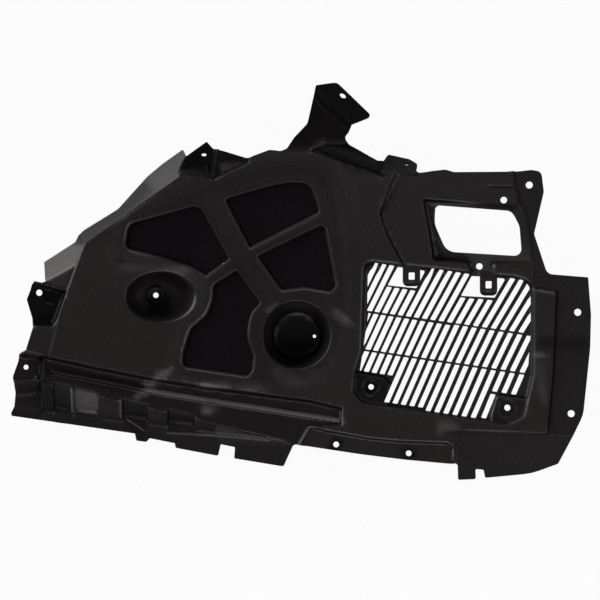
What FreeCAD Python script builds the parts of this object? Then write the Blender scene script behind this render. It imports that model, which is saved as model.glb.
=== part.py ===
import FreeCAD, Part
import math
import os

# Fender liner: one moulded sheet, lying with its wheel side up.
# X runs to the right and Y up across the sheet, Z out of the visible face.
# The sheet is the skin between an upper envelope and the same envelope one wall lower.

doc = FreeCAD.newDocument("fender_liner")
sheet = doc.addObject("Spreadsheet::Sheet", "sizes")

SIZES = [
    ("wall", 2.5),
    ("base_height", 55),
    ("crown_radius", 1500),
    ("crown_axis_y", -58),
    ("tool_height", 260),
    ("tool_depth", 60),
    ("plateau_rise", 3.5),
    ("lip_rise", 4.6),
    ("lip_width", 2),
    ("field_rise", 0.8),
    ("plate_drop", 4),
    ("flange_drop", 2.5),
    ("recess_floor_drop", 9),
    ("grille_drop", 11),
    ("boss_drop", 5),
    ("sill_drop", 6),
    ("bead_drop", 3.2),
    ("strip_drop", 5),
    ("ledge_rise", 5),
    ("bay_depth", 7),
    ("left_tab_drop", 16),
    ("low_tab_drop", 20),
    ("strip_foot", 12),
    ("flange_foot", 8.2),
    ("flap_foot", 4),
    ("tower_foot", 9.5),
    ("slot_width", 5.8),
    ("slot_corner", 1),
    ("row_growth", 0.11),
    ("row_fall", 8),
    ("rib_rise", 1.6),
    ("rib_width", 2),
    ("clip_tab_width", 21),
    ("clip_tip_corner", 6),
    ("clip_window_width", 7.2),
    ("clip_window_height", 8.6),
    ("oval_cup_half_length", 41),
    ("oval_cup_half_width", 29.5),
    ("oval_cup_floor_radius", 10),
    ("round_cup_radius", 39.5),
    ("round_cup_taper", 9),
    ("cup_edge", 6),
    ("cup_floor_height", 2.5),
    ("edge_hole_diameter", 8.5),
    ("frame_hole_diameter", 8),
    ("tab_hole_diameter", 7.5),
    ("low_tab_hole_diameter", 6),
    ("strip_hole_diameter", 7),
    ("boss_left_hole_diameter", 6.6),
    ("boss_right_hole_diameter", 7.4),
    ("oval_cup_hole_diameter", 6.6),
    ("round_cup_hole_diameter", 4),
    ("arm_hole_diameter", 8.5),
    ("bracket_hole_diameter", 6.6),
    ("tower_hole_diameter", 7),
    ("hole_reach", 30),
]
for row, (alias, value) in enumerate(SIZES, start=1):
    sheet.set(f"A{row}", alias)
    sheet.set(f"B{row}", str(value))
    sheet.setAlias(f"B{row}", alias)
doc.recompute()


def size(alias):
    """Value of one named size."""
    return float(sheet.get(alias))


WALL = size("wall")
LOW = -size("tool_depth")


# Outlines, as corners of x, y and, where the corner is rounded, its radius
OUTLINE = [
    (19, 236, 2), (44, 240, 9.5), (86, 199, 3), (62, 189, 3.5), (58.5, 180, 2.5),
    (52.5, 173, 6), (58, 164, 9.5), (91.5, 144.5, 2.5), (100, 145, 2.5), (106, 153.5, 3),
    (131.5, 147.5, 3.5), (141, 141.5, 2.5), (139, 133, 2), (142.5, 130.5, 1), (173.5, 134, 5),
    (184.5, 131, 5), (259, 131.5, 3.5), (277, 133.5, 3.5), (289, 131.5, 7), (292, 107.5, 12),
    (280.5, 57, 5), (296.5, 9, 9.5), (345.5, 5, 1), (349, -40, 48), (348, -80, 72),
    (339.5, -160, 36), (310.5, -219.5, 5), (279, -231.5, 72), (223, -237, 2), (221, -227, 2),
    (211, -226, 2), (212, -238.5, 2), (190.5, -239.5, 2), (189.5, -219.5, 3.5),
    (124.5, -213.5, 72), (71.5, -207, 72), (-8, -195, 5), (-20.5, -222, 2.5), (-79.5, -212.5, 1),
    (-78.5, -199, 1.5), (-96, -195.5, 1.5), (-99, -209.5, 2), (-150, -200, 2), (-151, -194.5, 1),
    (-181.5, -188.5, 2.5), (-185.5, -193, 2.5), (-197.5, -191.5, 2.5), (-199, -183, 1),
    (-348.5, -162, 1.5), (-349, -158.5, 1), (-345, -150.5, 3.5), (-343.5, -134, 9.5),
    (-345.5, -113.5, 3.5), (-336.5, -88, 3.5), (-330, -84, 2.5), (-320, -52, 1),
    (-329, -21.5, 2.5), (-320, 1, 1), (-308.5, -3, 1), (-306.5, 0, 0.5), (-309, 23.5, 0.5),
    (-271.5, 47.5, 0.5), (-267.5, 56, 2.5), (-260.5, 62, 2.5), (-219.5, 87, 12),
    (-185, 126.5, 14.5), (-166, 142.5, 14.5), (-142, 159.5, 0.5), (-138, 150.5, 2),
    (-113, 169, 1), (-105, 160, 3.5), (-64, 147.5, 6), (-37, 157.5, 6), (-23, 156, 6),
    (-16, 159.5, 6), (-7.5, 172.5, 5), (8.5, 189.5, 9.5),
]
WINDOW = [
    (162, 91.5, 5.5), (253.5, 84.5, 11), (263, 66.5, 17), (266, 30, 8.5), (175.5, 35.5, 17),
    (161, 69, 24),
]
FIELD_LEFT = [
    (-211, 40.5, 8), (-205.5, 69, 13), (-121, 92, 12), (-85, 27, 2.5), (-112, 7.5, 3),
    (-136, 20, 12), (-167, 30, 24),
]
FIELD_UPPER = [
    (-90.5, 99, 3.5), (-36.5, 114.5, 36), (-14, 119, 20), (11.5, 118.5, 17), (23.5, 83, 4.5),
    (-60.5, 40.5, 2.5),
]
FIELD_RIGHT = [
    (-51.5, 30.5, 1.5), (28.5, 69, 5), (44.7, -13.4, 8), (5.5, -6.5, 24), (-22.5, -10, 3),
]
FIELD_LOWER = [
    (-76, 13.5, 1.5), (-47.5, -26, 4), (-59, -38, 9.5), (-64.5, -64, 14.5), (-55.5, -90, 9.5),
    (-58, -114, 9), (-142, -101.5, 8), (-140.5, -84, 8), (-132, -57, 7), (-112, -40, 9.5),
    (-105.5, -22, 9.5), (-104.5, -4.5, 6),
]
PLATEAU = [
    (-226.5, 46, 12), (-208, 78.5, 14.5), (-125, 111, 24), (-46, 135, 36), (15, 140, 12),
    (37, 119.5, 17), (47.5, 80, 36), (57, -0.5, 24), (55, -44, 12), (45, -84.5, 24),
    (26, -112, 17), (-5, -119.5, 24), (-34, -108.5, 14.5), (-43.5, -128, 9.5),
    (-114.5, -130, 24), (-149, -119.5, 14.5), (-153, -87, 17), (-142, -58, 12), (-118, -38, 12),
    (-113, -12.5, 14.5), (-132.5, 14, 17), (-168.5, 23, 24), (-215, 22, 12),
]
PLATE = [
    (123, 152), (95.5, 82, 6), (103.5, 58, 7), (130.5, 6.5), (277, -9), (278.8, 17, 2),
    (275.5, 54.5, 12), (270, 88, 3.5), (262.5, 94, 2.5), (255.5, 131), (255, 152),
]
FLANGE_RIGHT = [
    (255, 152), (255.5, 131), (262.5, 94, 2.5), (270, 88, 3.5), (275.5, 54.5, 12),
    (278.8, 17, 2), (277, -9), (308, -14, 1), (304, -108.5, 24), (297, -183), (383.5, -190),
    (383.5, 152),
]
WINDOW_RECESS = [
    (146, 99.5), (218, 95), (262, 92), (270, 88), (275.5, 54.5), (278.5, 18.5), (233, 18.5),
    (232.5, -3), (217, -3), (203, 11.5), (199.5, 20.5), (159, 25),
]
GRILLE_POCKET = [
    (76.5, 24, 9.5), (257.5, 5.5, 6), (279, -1, 16), (279.5, -111, 6), (268, -161.5, 9.5),
    (247, -171.5, 9.5), (101.5, -150, 9.5), (74, -145, 9.5), (63.5, -132.5, 7),
    (64.5, -111.5, 7), (73.5, -83.5, 12),
]
BOSS_LEFT = [
    (64, -109, 5), (101, -117, 3), (108, -125, 4), (103, -151, 4), (88, -156, 4), (56, -150, 4),
    (56, -130, 4),
]
BOSS_RIGHT = [
    (236, -137, 4), (284, -143, 2), (284, -180, 2), (229, -176, 2), (229, -160, 4),
]
BAY_CLIP_LEFT = [(117, 17.5, 2), (150.2, 12.8, 2), (139.5, -8.1, 1), (104.8, -4.6, 1)]
BAY_CLIP_RIGHT = [(206, 6.8, 2), (246.6, 3.4, 2), (233.5, -19.5, 1), (193, -17.2, 1)]
# Curved border of the grille, which no slot crosses
GRILLE_EDGE = [
    (81.4, 24.5, 12), (200, 13.2), (276.6, 0.5, 17), (276.8, -62), (274, -100), (266, -185),
    (60, -185), (80, -50.5),
]
SILL = [
    (-380, -74), (-342.5, -82), (-309, -90.5), (-243.5, -105, 36), (-187.5, -116),
    (-120.5, -127, 72), (11.5, -144, 36), (49, -153, 1), (49, -171.5, 1), (11.5, -174, 9.5),
    (-4, -200), (-24.5, -250), (-380, -250),
]
BEAD = [
    (-298, -105.5, 1.5), (-228.5, -118.5, 48), (-168.5, -131, 72), (47.5, -164.5, 0.5),
    (48, -169.5, 0.5), (-168.5, -136, 72), (-228.5, -123.5, 48), (-297, -110.5, 1.5),
]
STRIP_RIGHT = [
    (-6, -205), (11.5, -174, 3.5), (35.5, -179.5, 24), (83.5, -188, 72), (121, -191.5, 72),
    (176, -193.5, 6), (184, -199, 5), (185, -250), (-6, -250),
]
LEDGE = [
    (13.7, 158.2), (23.6, 154.8), (53.6, 142.2, 36), (98, 128.2), (99, 158), (110, 170),
    (62, 179.5), (56, 168), (47.6, 164, 3), (29.6, 165.2, 3),
]
TAB_LEFT = [
    (-350, 4), (-309, -2.5), (-280, -10.5, 1), (-291.5, -44, 1), (-297, -53.5, 1),
    (-319.5, -53), (-350, -52),
]
LOW_TAB = [(-380, -84), (-333, -87), (-309, -91.5, 1), (-311, -117.5, 1), (-321, -121), (-380, -121)]
LOW_TAB_WALL = [(-380, -117), (-322, -117), (-311, -123), (-309, -172), (-380, -172)]
SHELF = [(-259.5, 45), (-280, -10.5), (-309, -2.5), (-350, 4), (-350, 30), (-271.5, 80)]
LEFT_FLANGE = [(-262, 43.5), (-145.5, 125.5), (-136, 153), (-142, 190), (-330, 190), (-330, 43.5)]
LOWER_WALL = [(-380, -104), (-308.8, -123), (-20.8, -190.2), (-4, -200), (-24, -250), (-380, -250)]
BAYS = [
    [(-297, -120), (-276, -124), (-276, -170), (-297, -170)],
    [(-273.5, -126), (-242, -133), (-242, -170), (-273.5, -170)],
    [(-214, -140), (-183, -147), (-183, -185), (-214, -185)],
    [(-159.5, -152), (-126.5, -160), (-126.5, -190), (-159.5, -190)],
]
FLAP = [
    (186, -178.5, 2), (209.6, -175.8, 24), (297.2, -181.8, 24), (375, -184), (375, -260),
    (184, -260),
]
ARM_TAB = [(4, 248), (20, 229.8), (58.4, 185.4), (61, 180), (113.5, 184), (53.5, 266), (4, 266)]
ARM = [
    (-22, 158), (14, 158.3), (30, 166), (48, 165), (58, 164), (120, 170), (120, 280), (-20, 280),
    (-30, 175),
]
TOWER = [(99, 170), (98, 130.5, 1), (121, 129, 1), (139.5, 127, 2), (153, 131.5), (153, 170)]
BRACKET = [(-148, 128), (-106, 122, 3), (-100, 160), (-100, 185), (-139, 185), (-139, 150)]
BLOCK = [(-400, 280), (400, 280), (400, -280), (-400, -280)]

# Slots of the grille: foot or head of the first and last one, lengths and leans along the row
ROWS = [
    ("slot_row_upper", (82.9, -35.4), (264.8, -61.2), 63.5, 58.5, 1,
     [61, 33.8, 33.8, 33.8, 33.8, 65, 65, 65, 65, 65, 34, 34.5, 35.5, 36, 68, 68, 66, 52, 34]),
    ("slot_row_middle", (81.1, -81.8), (254.6, -107.6), 65.3, 63.9, 1,
     [45.5] * 9 + [47] * 9),
    ("slot_row_lower", (89.3, -85.4), (266.3, -111.7), 66, 66.5, -1,
     [25] * 4 + [59] * 5 + [62] * 6 + [26] * 3),
]
# Single slots beside the rows: foot, length and lean
LONE_SLOTS = [
    ((73.8, -34.1), 61, 63.8), ((64.8, -32.8), 61, 64.1), ((72.2, -80.5), 45.5, 65.4),
    ((63.2, -79.2), 45.5, 65.5), ((266.2, -109.4), 45.5, 63.8), ((69.9, -106.8), 25, 66),
    ((220, -164), 31, 68),
]
# Ribs between the rows: both ends
RIBS = [
    ((80.6, -37.2), (276.6, -63)), ((74.6, -84.2), (274.4, -111)),
    ((104.6, -5.4), (140.6, -9)), ((194.6, -18.2), (232.4, -20.4)),
]


def signed_area(points):
    """Twice the area inside the corners, positive when they run anticlockwise."""
    total = 0.0
    for here, after in zip(points, points[1:] + points[:1]):
        total += here[0] * after[1] - after[0] * here[1]
    return total


def grown(points, amount):
    """The same corners with every side moved outward by the amount."""
    turn = 1.0 if signed_area(points) > 0 else -1.0
    count = len(points)
    sides = []
    for index in range(count):
        x1, y1 = points[index][:2]
        x2, y2 = points[(index + 1) % count][:2]
        length = math.hypot(x2 - x1, y2 - y1)
        nx, ny = turn * (y2 - y1) / length, -turn * (x2 - x1) / length
        sides.append((x1 + nx * amount, y1 + ny * amount, (x2 - x1) / length, (y2 - y1) / length))
    result = []
    for index in range(count):
        ax, ay, adx, ady = sides[index - 1]
        bx, by, bdx, bdy = sides[index]
        cross = adx * bdy - ady * bdx
        radius = points[index][2] if len(points[index]) > 2 else 0
        if abs(cross) < 1e-6:
            result.append((bx, by, radius))
            continue
        along = ((bx - ax) * bdy - (by - ay) * bdx) / cross
        convex = cross * turn > 0
        if radius:
            radius = max(radius + (amount if convex else -amount), 0)
        result.append((ax + adx * along, ay + ady * along, radius))
    return result


def rounded_wire(points):
    """Closed wire through the corners, with an arc at each corner that has a radius."""
    count = len(points)
    trims = []
    for index in range(count):
        here = points[index]
        before, after = points[index - 1], points[(index + 1) % count]
        ux, uy = before[0] - here[0], before[1] - here[1]
        vx, vy = after[0] - here[0], after[1] - here[1]
        lu, lv = math.hypot(ux, uy), math.hypot(vx, vy)
        ux, uy, vx, vy = ux / lu, uy / lu, vx / lv, vy / lv
        angle = math.acos(max(-1.0, min(1.0, ux * vx + uy * vy)))
        radius = here[2] if len(here) > 2 else 0
        if radius and angle < math.pi - 0.01:
            trim = min(radius / math.tan(angle / 2), 0.48 * lu, 0.48 * lv)
            bend = trim * math.tan(angle / 2)
            bx, by = ux + vx, uy + vy
            lb = math.hypot(bx, by)
            reach = bend / math.sin(angle / 2) - bend
            middle = (here[0] + bx / lb * reach, here[1] + by / lb * reach)
            trims.append(((here[0] + ux * trim, here[1] + uy * trim), middle,
                          (here[0] + vx * trim, here[1] + vy * trim)))
        else:
            trims.append(((here[0], here[1]), None, (here[0], here[1])))
    edges = []
    for index in range(count):
        start, middle, end = trims[index]
        if middle:
            edges.append(Part.Arc(FreeCAD.Vector(*start, 0), FreeCAD.Vector(*middle, 0),
                                  FreeCAD.Vector(*end, 0)).toShape())
        following = trims[(index + 1) % count][0]
        if math.hypot(following[0] - end[0], following[1] - end[1]) > 1e-4:
            edges.append(Part.makeLine(FreeCAD.Vector(*end, 0), FreeCAD.Vector(*following, 0)))
    return Part.Wire(edges)


def surface(y, level):
    """Height of the crowned face at a place across the sheet."""
    radius = size("crown_radius") - level
    axis_height = size("base_height") + size("crown_radius")
    return axis_height - math.sqrt(radius ** 2 - (y - size("crown_axis_y")) ** 2)


def prism(name, points):
    """Upright prism over rounded corners, taller and deeper than the sheet."""
    outline = doc.addObject("Part::Feature", name + "_outline")
    outline.Shape = Part.Face(rounded_wire(points))
    outline.Placement.Base.z = LOW
    body = doc.addObject("Part::Extrusion", name)
    body.Base = outline
    body.DirMode = "Custom"
    body.Dir = FreeCAD.Vector(0, 0, 1)
    body.Solid = True
    body.setExpression("LengthFwd", "sizes.tool_height")
    return body


def level_cylinder(name, radius):
    """Large cylinder along X whose underside is the crowned face at one level."""
    body = doc.addObject("Part::Cylinder", name)
    body.setExpression("Radius", radius)
    body.Height = 1200
    body.Placement = FreeCAD.Placement(
        FreeCAD.Vector(-600, size("crown_axis_y"), 0),
        FreeCAD.Rotation(FreeCAD.Vector(0, 1, 0), 90))
    body.setExpression(".Placement.Base.z", "sizes.base_height + sizes.crown_radius")
    body.setExpression(".Placement.Base.y", "sizes.crown_axis_y")
    return body


def joined(kind, name, first, second):
    """Boolean of two objects of the document."""
    body = doc.addObject(kind, name)
    body.Base = first
    body.Tool = second
    return body


def fused(name, parts):
    """Fuse of several objects of the document."""
    if len(parts) == 1:
        return parts[0]
    body = doc.addObject("Part::MultiFuse", name)
    body.Shapes = parts
    body.Refine = False
    return body


def plane_through(first, second, third):
    """Height over x and y of the plane through three points."""
    p, q, r = FreeCAD.Vector(*first), FreeCAD.Vector(*second), FreeCAD.Vector(*third)
    normal = (q - p).cross(r - p)
    if normal.z < 0:
        normal = normal * -1
    normal.normalize()

    def height(x, y, sink=0.0):
        drop = (normal.x * (x - p.x) + normal.y * (y - p.y)) / normal.z
        return p.z - drop - sink / normal.z

    return height, normal


def above(name, points, height, sink):
    """Everything over a sloping plane inside straight corners."""
    corners = [FreeCAD.Vector(p[0], p[1], height(p[0], p[1], sink)) for p in points]
    face = doc.addObject("Part::Feature", name + "_plane")
    face.Shape = Part.Face(Part.makePolygon(corners + corners[:1]))
    body = doc.addObject("Part::Extrusion", name)
    body.Base = face
    body.DirMode = "Custom"
    body.Dir = FreeCAD.Vector(0, 0, 1)
    body.Solid = True
    body.setExpression("LengthFwd", "sizes.tool_height * 2")
    return body


# Sloping faces: each pair is a region and the planes that it stays above
foot = size("strip_foot")
sill_level = -size("sill_drop")
wall_plane = plane_through(
    (-308.8, -123, surface(-123, sill_level)), (-20.8, -190.2, surface(-190, sill_level)),
    (-308.8, -155.4, foot + 6.4))[0]
bay_level = sill_level - size("bay_depth")
bay_plane = plane_through(
    (-308.8, -123, surface(-123, bay_level)), (-20.8, -190.2, surface(-190, bay_level)),
    (-308.8, -155.4, foot + 6.4 - size("bay_depth")))[0]
strip_plane = plane_through(
    (-349, -157, foot), (-349, -200, foot), (-20.8, -190.2, surface(-190, sill_level)))[0]
flange_plane = plane_through(
    (-259.5, 45, surface(45, 0)), (-145.5, 125.5, surface(125.5, 0)),
    (-142, 159.5, size("flange_foot")))[0]
shelf_plane = plane_through((-280, -10.5, 52), (-271.8, 19.8, 51), (-305.5, 1.8, 45))[0]
shelf_face_plane = plane_through((-305.5, 1.8, 45), (-271.8, 19.8, 51), (-309, 23.5, 15.3))[0]
plate_level = -size("plate_drop")
recess_plane = plane_through(
    (144.8, 97.8, surface(97.8, plate_level) - 5), (216.8, 95.4, surface(95.4, plate_level)),
    (160.4, 28.2, surface(28.2, plate_level) - 9))[0]
ledge_plane = plane_through(
    (23.6, 154.8, surface(154.8, 0)), (98, 128.2, surface(128.2, 0)),
    (99.2, 138.6, surface(138.6, size("ledge_rise"))))[0]
flap_plane = plane_through(
    (183, -178, surface(-178, 0)), (324, -183, surface(-183, 0)),
    (200, -239.5, size("flap_foot")))[0]
arm_root = surface(158, 0)
arm_fall = plane_through((-22, 158, arm_root), (60, 160, arm_root), (30, 235, arm_root - 25))[0]
arm_plane, arm_normal = plane_through(
    (20, 229.8, arm_fall(20, 229.8)), (58.4, 185.4, arm_fall(58.4, 185.4)), (58, 224, 34))
tower_plane, tower_normal = plane_through(
    (98, 129, surface(129, -4)), (140, 128, surface(128, -4)),
    (106, 153.5, size("tower_foot")))
bracket_wall_plane = plane_through(
    (-148, 126, surface(126, 0)), (-106, 122, surface(122, 0)), (-127, 141, 20))[0]
bracket_plane, bracket_normal = plane_through(
    (-138, 142, 34), (-106, 142, 34), (-120, 165, 15))
low_wall_plane = plane_through(
    (-343, -119, surface(-119, -20)), (-311, -119, surface(-119, -20)), (-330, -133, foot + 4))[0]

SLOPES = [
    ("left_flange", LEFT_FLANGE, [flange_plane], 0),
    ("shelf", SHELF, [shelf_plane], 0),
    ("shelf_face", SHELF, [shelf_face_plane], 0),
    ("window_recess", WINDOW_RECESS, [recess_plane], 0),
    ("ledge_wall", LEDGE, [ledge_plane], 0),
    ("lower_wall", LOWER_WALL, [wall_plane, strip_plane], 0),
    ("low_tab_wall", LOW_TAB_WALL, [low_wall_plane, strip_plane], 0),
    ("flap", FLAP, [flap_plane], 0),
    ("arm", ARM, [arm_fall], 0),
    ("arm_tab", ARM_TAB, [arm_plane], 0),
    ("tower", TOWER, [tower_plane], 0),
    ("bracket", BRACKET, [bracket_wall_plane, bracket_plane], 0),
]
for number, bay in enumerate(BAYS, start=1):
    SLOPES.append((f"bay_{number}", bay, [bay_plane, strip_plane], 0))

REGIONS = [
    ("raise", "plateau", PLATEAU, "plateau_rise", 1),
    ("raise", "ledge", LEDGE, "ledge_rise", 1),
    ("raise", "lip_left", grown(FIELD_LEFT, size("lip_width")), "lip_rise", 1),
    ("raise", "lip_upper", grown(FIELD_UPPER, size("lip_width")), "lip_rise", 1),
    ("raise", "lip_right", grown(FIELD_RIGHT, size("lip_width")), "lip_rise", 1),
    ("raise", "lip_lower", grown(FIELD_LOWER, size("lip_width")), "lip_rise", 1),
    ("lower", "field_left", FIELD_LEFT, "field_rise", 1),
    ("lower", "field_upper", FIELD_UPPER, "field_rise", 1),
    ("lower", "field_right", FIELD_RIGHT, "field_rise", 1),
    ("lower", "field_lower", FIELD_LOWER, "field_rise", 1),
    ("lower", "plate", PLATE, "plate_drop", -1),
    ("lower", "flange_right", FLANGE_RIGHT, "flange_drop", -1),
    ("lower", "grille_pocket", GRILLE_POCKET, "grille_drop", -1),
    ("lower", "sill", SILL, "sill_drop", -1),
    ("lower", "strip_right", STRIP_RIGHT, "strip_drop", -1),
    ("lower", "tab_left", TAB_LEFT, "left_tab_drop", -1),
    ("lower", "low_tab", LOW_TAB, "low_tab_drop", -1),
    ("raise", "bead", BEAD, "bead_drop", -1),
    ("raise", "boss_left", BOSS_LEFT, "boss_drop", -1),
    ("raise", "boss_right", BOSS_RIGHT, "boss_drop", -1),
]


def envelope(tag, sink):
    """Solid under the visible face, or under the hidden face when it sinks by one wall."""
    wall_term = " + sizes.wall" if sink else ""
    cylinders = {}

    def cylinder(alias, sign):
        if alias not in cylinders:
            sign_text = "-" if sign > 0 else "+"
            radius = f"sizes.crown_radius {sign_text} sizes.{alias}{wall_term}"
            cylinders[alias] = level_cylinder(f"{tag}_level_{alias}", radius)
        return cylinders[alias]

    ground = level_cylinder(f"{tag}_level_base", f"sizes.crown_radius{wall_term}")
    block = prism(f"{tag}_block", grown(BLOCK, sink))
    if sink:
        block.Base.Placement.Base.z = LOW - 1
    body = joined("Part::Cut", f"{tag}_crown", block, ground)
    for wanted, group in (("raise", 0), ("lower", 1), ("raise", 2)):
        tools = []
        for kind, name, points, alias, sign in REGIONS:
            late = name in ("bead", "boss_left", "boss_right")
            if kind != wanted or (group == 2) != late:
                continue
            spread = sink if kind == "lower" else -sink
            region = prism(f"{tag}_{name}", grown(points, spread) if sink else points)
            if sink:
                region.Base.Placement.Base.z = LOW - 1
            how = "Part::Common" if kind == "lower" else "Part::Cut"
            tools.append(joined(how, f"{tag}_{name}_tool", region, cylinder(alias, sign)))
        if wanted == "raise":
            body = fused(f"{tag}_raised_{group}", [body] + tools)
        else:
            body = joined("Part::Cut", f"{tag}_lowered", body, fused(f"{tag}_low_tools", tools))
    tools = []
    for name, points, planes, extra in SLOPES:
        area = grown(points, sink) if sink else points
        parts = [above(f"{tag}_{name}_{index}", area, height, sink + extra * (index == 0))
                 for index, height in enumerate(planes)]
        tool = parts[0]
        for index, other in enumerate(parts[1:]):
            tool = joined("Part::Common", f"{tag}_{name}_both_{index}", tool, other)
        tools.append(tool)
    body = joined("Part::Cut", f"{tag}_sloped", body, fused(f"{tag}_slope_tools", tools))
    cups = [oval_cup(f"{tag}_oval_cup", sink), round_cup(f"{tag}_round_cup", sink)]
    return joined("Part::Cut", f"{tag}_envelope", body, fused(f"{tag}_cups", cups))


OVAL_CUP = (-167.8, -18.6)
OVAL_CUP_FLOOR = (-173.5, -16.8)
ROUND_CUP = (-4, -64.2)


def oval_cup(name, sink):
    """Well that narrows from an oval mouth to a small round floor beside its centre."""
    centre_height = surface(OVAL_CUP[1], 0)
    depth = centre_height - size("cup_floor_height")
    edge = size("cup_edge")
    rings = []
    for above_floor, inset in ((depth + 40, 0), (edge, 0), (edge * 0.3, edge * 0.3), (0, edge)):
        share = 1 - above_floor / depth
        low_radius = size("oval_cup_floor_radius") + edge
        ring = doc.addObject("Part::Ellipse", f"{name}_ring_{len(rings)}")
        long, wide = size("oval_cup_half_length"), size("oval_cup_half_width")
        ring.MajorRadius = long + (low_radius - long) * share - inset + sink
        ring.MinorRadius = wide + (low_radius - 0.2 - wide) * share - inset + sink
        ring.Placement.Base = FreeCAD.Vector(
            OVAL_CUP[0] + (OVAL_CUP_FLOOR[0] - OVAL_CUP[0]) * share,
            OVAL_CUP[1] + (OVAL_CUP_FLOOR[1] - OVAL_CUP[1]) * share,
            size("cup_floor_height") - sink + above_floor)
        rings.append(ring)
    well = doc.addObject("Part::Loft", name)
    well.Sections = rings
    well.Solid = True
    well.Ruled = True
    return well


def round_cup(name, sink):
    """Round well turned about its axis, with an arc at the floor."""
    centre_height = surface(ROUND_CUP[1], 0)
    floor = size("cup_floor_height") - sink
    edge = size("cup_edge")
    lean = size("round_cup_taper") / (centre_height - size("cup_floor_height"))
    mouth = size("round_cup_radius") + sink
    top = centre_height + 40
    wide = mouth + 40 * lean
    low = mouth - (centre_height - floor - edge) * lean
    points = [FreeCAD.Vector(0, 0, top), FreeCAD.Vector(wide, 0, top),
              FreeCAD.Vector(low, 0, floor + edge),
              FreeCAD.Vector(low - edge * 0.34, 0, floor + edge * 0.27),
              FreeCAD.Vector(low - edge * 1.1, 0, floor), FreeCAD.Vector(0, 0, floor)]
    outline = doc.addObject("Part::Feature", name + "_outline")
    outline.Shape = Part.Face(Part.Wire([
        Part.makeLine(points[0], points[1]), Part.makeLine(points[1], points[2]),
        Part.Arc(points[2], points[3], points[4]).toShape(),
        Part.makeLine(points[4], points[5]), Part.makeLine(points[5], points[0])]))
    well = doc.addObject("Part::Revolution", name)
    well.Source = outline
    well.Axis = FreeCAD.Vector(0, 0, 1)
    well.Angle = 360
    well.Solid = True
    well.Placement.Base = FreeCAD.Vector(ROUND_CUP[0], ROUND_CUP[1], 0)
    return well


def column(name, points, low, high):
    """Upright solid between two heights over rounded corners."""
    outline = doc.addObject("Part::Feature", name + "_outline")
    outline.Shape = Part.Face(rounded_wire(points))
    outline.Placement.Base.z = low
    body = doc.addObject("Part::Extrusion", name)
    body.Base = outline
    body.DirMode = "Custom"
    body.Dir = FreeCAD.Vector(0, 0, 1)
    body.Solid = True
    body.LengthFwd = high - low
    return body


def bar_corners(first, second, width):
    """Corners of a straight bar with rounded ends."""
    dx, dy = second[0] - first[0], second[1] - first[1]
    length = math.hypot(dx, dy)
    ax, ay = dx / length, dy / length
    half = width / 2
    round_end = half * 0.98
    return [
        (first[0] - ay * half - ax * half, first[1] + ax * half - ay * half, round_end),
        (second[0] - ay * half + ax * half, second[1] + ax * half + ay * half, round_end),
        (second[0] + ay * half + ax * half, second[1] - ax * half + ay * half, round_end),
        (first[0] + ay * half - ax * half, first[1] - ax * half - ay * half, round_end),
    ]


def slot_bar(foot_point, length, lean):
    """Corners of one slot that leans from its foot, with ends along the row."""
    row_fall = math.radians(size("row_fall"))
    ax, ay = math.cos(math.radians(lean)), math.sin(math.radians(lean))
    half = size("slot_width") / 2 / math.sin(math.radians(lean) + row_fall)
    ex, ey = half * math.cos(row_fall), -half * math.sin(row_fall)
    fx, fy = foot_point
    hx, hy = fx + ax * length, fy + ay * length
    turn = size("slot_corner")
    return [(fx - ex, fy - ey, turn), (fx + ex, fy + ey, turn), (hx + ex, hy + ey, turn),
            (hx - ex, hy - ey, turn)]


def slot_row(name, first, last, lean_first, lean_last, side, lengths):
    """One row of slots, with a pitch that grows along the row."""
    steps = len(lengths) - 1
    growth = size("row_growth")
    slots = []
    for index, length in enumerate(lengths):
        share = index / steps
        along = share + growth * share * (share - 1)
        x = first[0] + (last[0] - first[0]) * along
        y = first[1] + (last[1] - first[1]) * along
        lean = lean_first + (lean_last - lean_first) * share
        if side < 0:
            x -= length * math.cos(math.radians(lean))
            y -= length * math.sin(math.radians(lean))
        slots.append(slot_bar((x, y), length, lean))
    return slot_tool(name, slots)


def slot_tool(name, slots):
    """Flat outlines of a group of slots."""
    group = doc.addObject("Part::Feature", name)
    group.Shape = Part.makeCompound([Part.Face(rounded_wire(slot)) for slot in slots])
    group.Placement.Base.z = LOW
    return group


def flat_outline(name, points):
    """Flat face inside rounded corners, at the foot of the upright tools."""
    outline = doc.addObject("Part::Feature", name)
    outline.Shape = Part.Face(rounded_wire(points))
    outline.Placement.Base.z = LOW
    return outline


slots = [slot_row(*row) for row in ROWS]
slots.append(slot_tool("lone_slots", [slot_bar(*slot) for slot in LONE_SLOTS]))
cuts = [joined("Part::Common", "grille_slots", fused("all_slots", slots),
               flat_outline("grille_border", GRILLE_EDGE))]
cuts.append(flat_outline("clip_bay_left", BAY_CLIP_LEFT))
cuts.append(flat_outline("clip_bay_right", BAY_CLIP_RIGHT))
cuts.append(flat_outline("window_opening", WINDOW))


def upright_hole(name, x, y, diameter):
    """Flat outline of a round hole along Z."""
    outline = doc.addObject("Part::Feature", name)
    circle = Part.Circle(FreeCAD.Vector(0, 0, 0), FreeCAD.Vector(0, 0, 1), size(diameter) / 2)
    outline.Shape = Part.Face(Part.Wire(circle.toShape()))
    outline.Placement.Base = FreeCAD.Vector(x, y, LOW)
    return outline


def square_hole(name, x, y, normal, height, diameter):
    """Round hole square to a sloping face."""
    body = doc.addObject("Part::Cylinder", name)
    body.setExpression("Radius", f"sizes.{diameter} / 2")
    body.setExpression("Height", "sizes.hole_reach")
    turn = FreeCAD.Rotation(FreeCAD.Vector(0, 0, 1), normal)
    start = FreeCAD.Vector(x, y, height(x, y)) - normal * (size("hole_reach") / 2)
    body.Placement = FreeCAD.Placement(start, turn)
    return body


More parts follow.
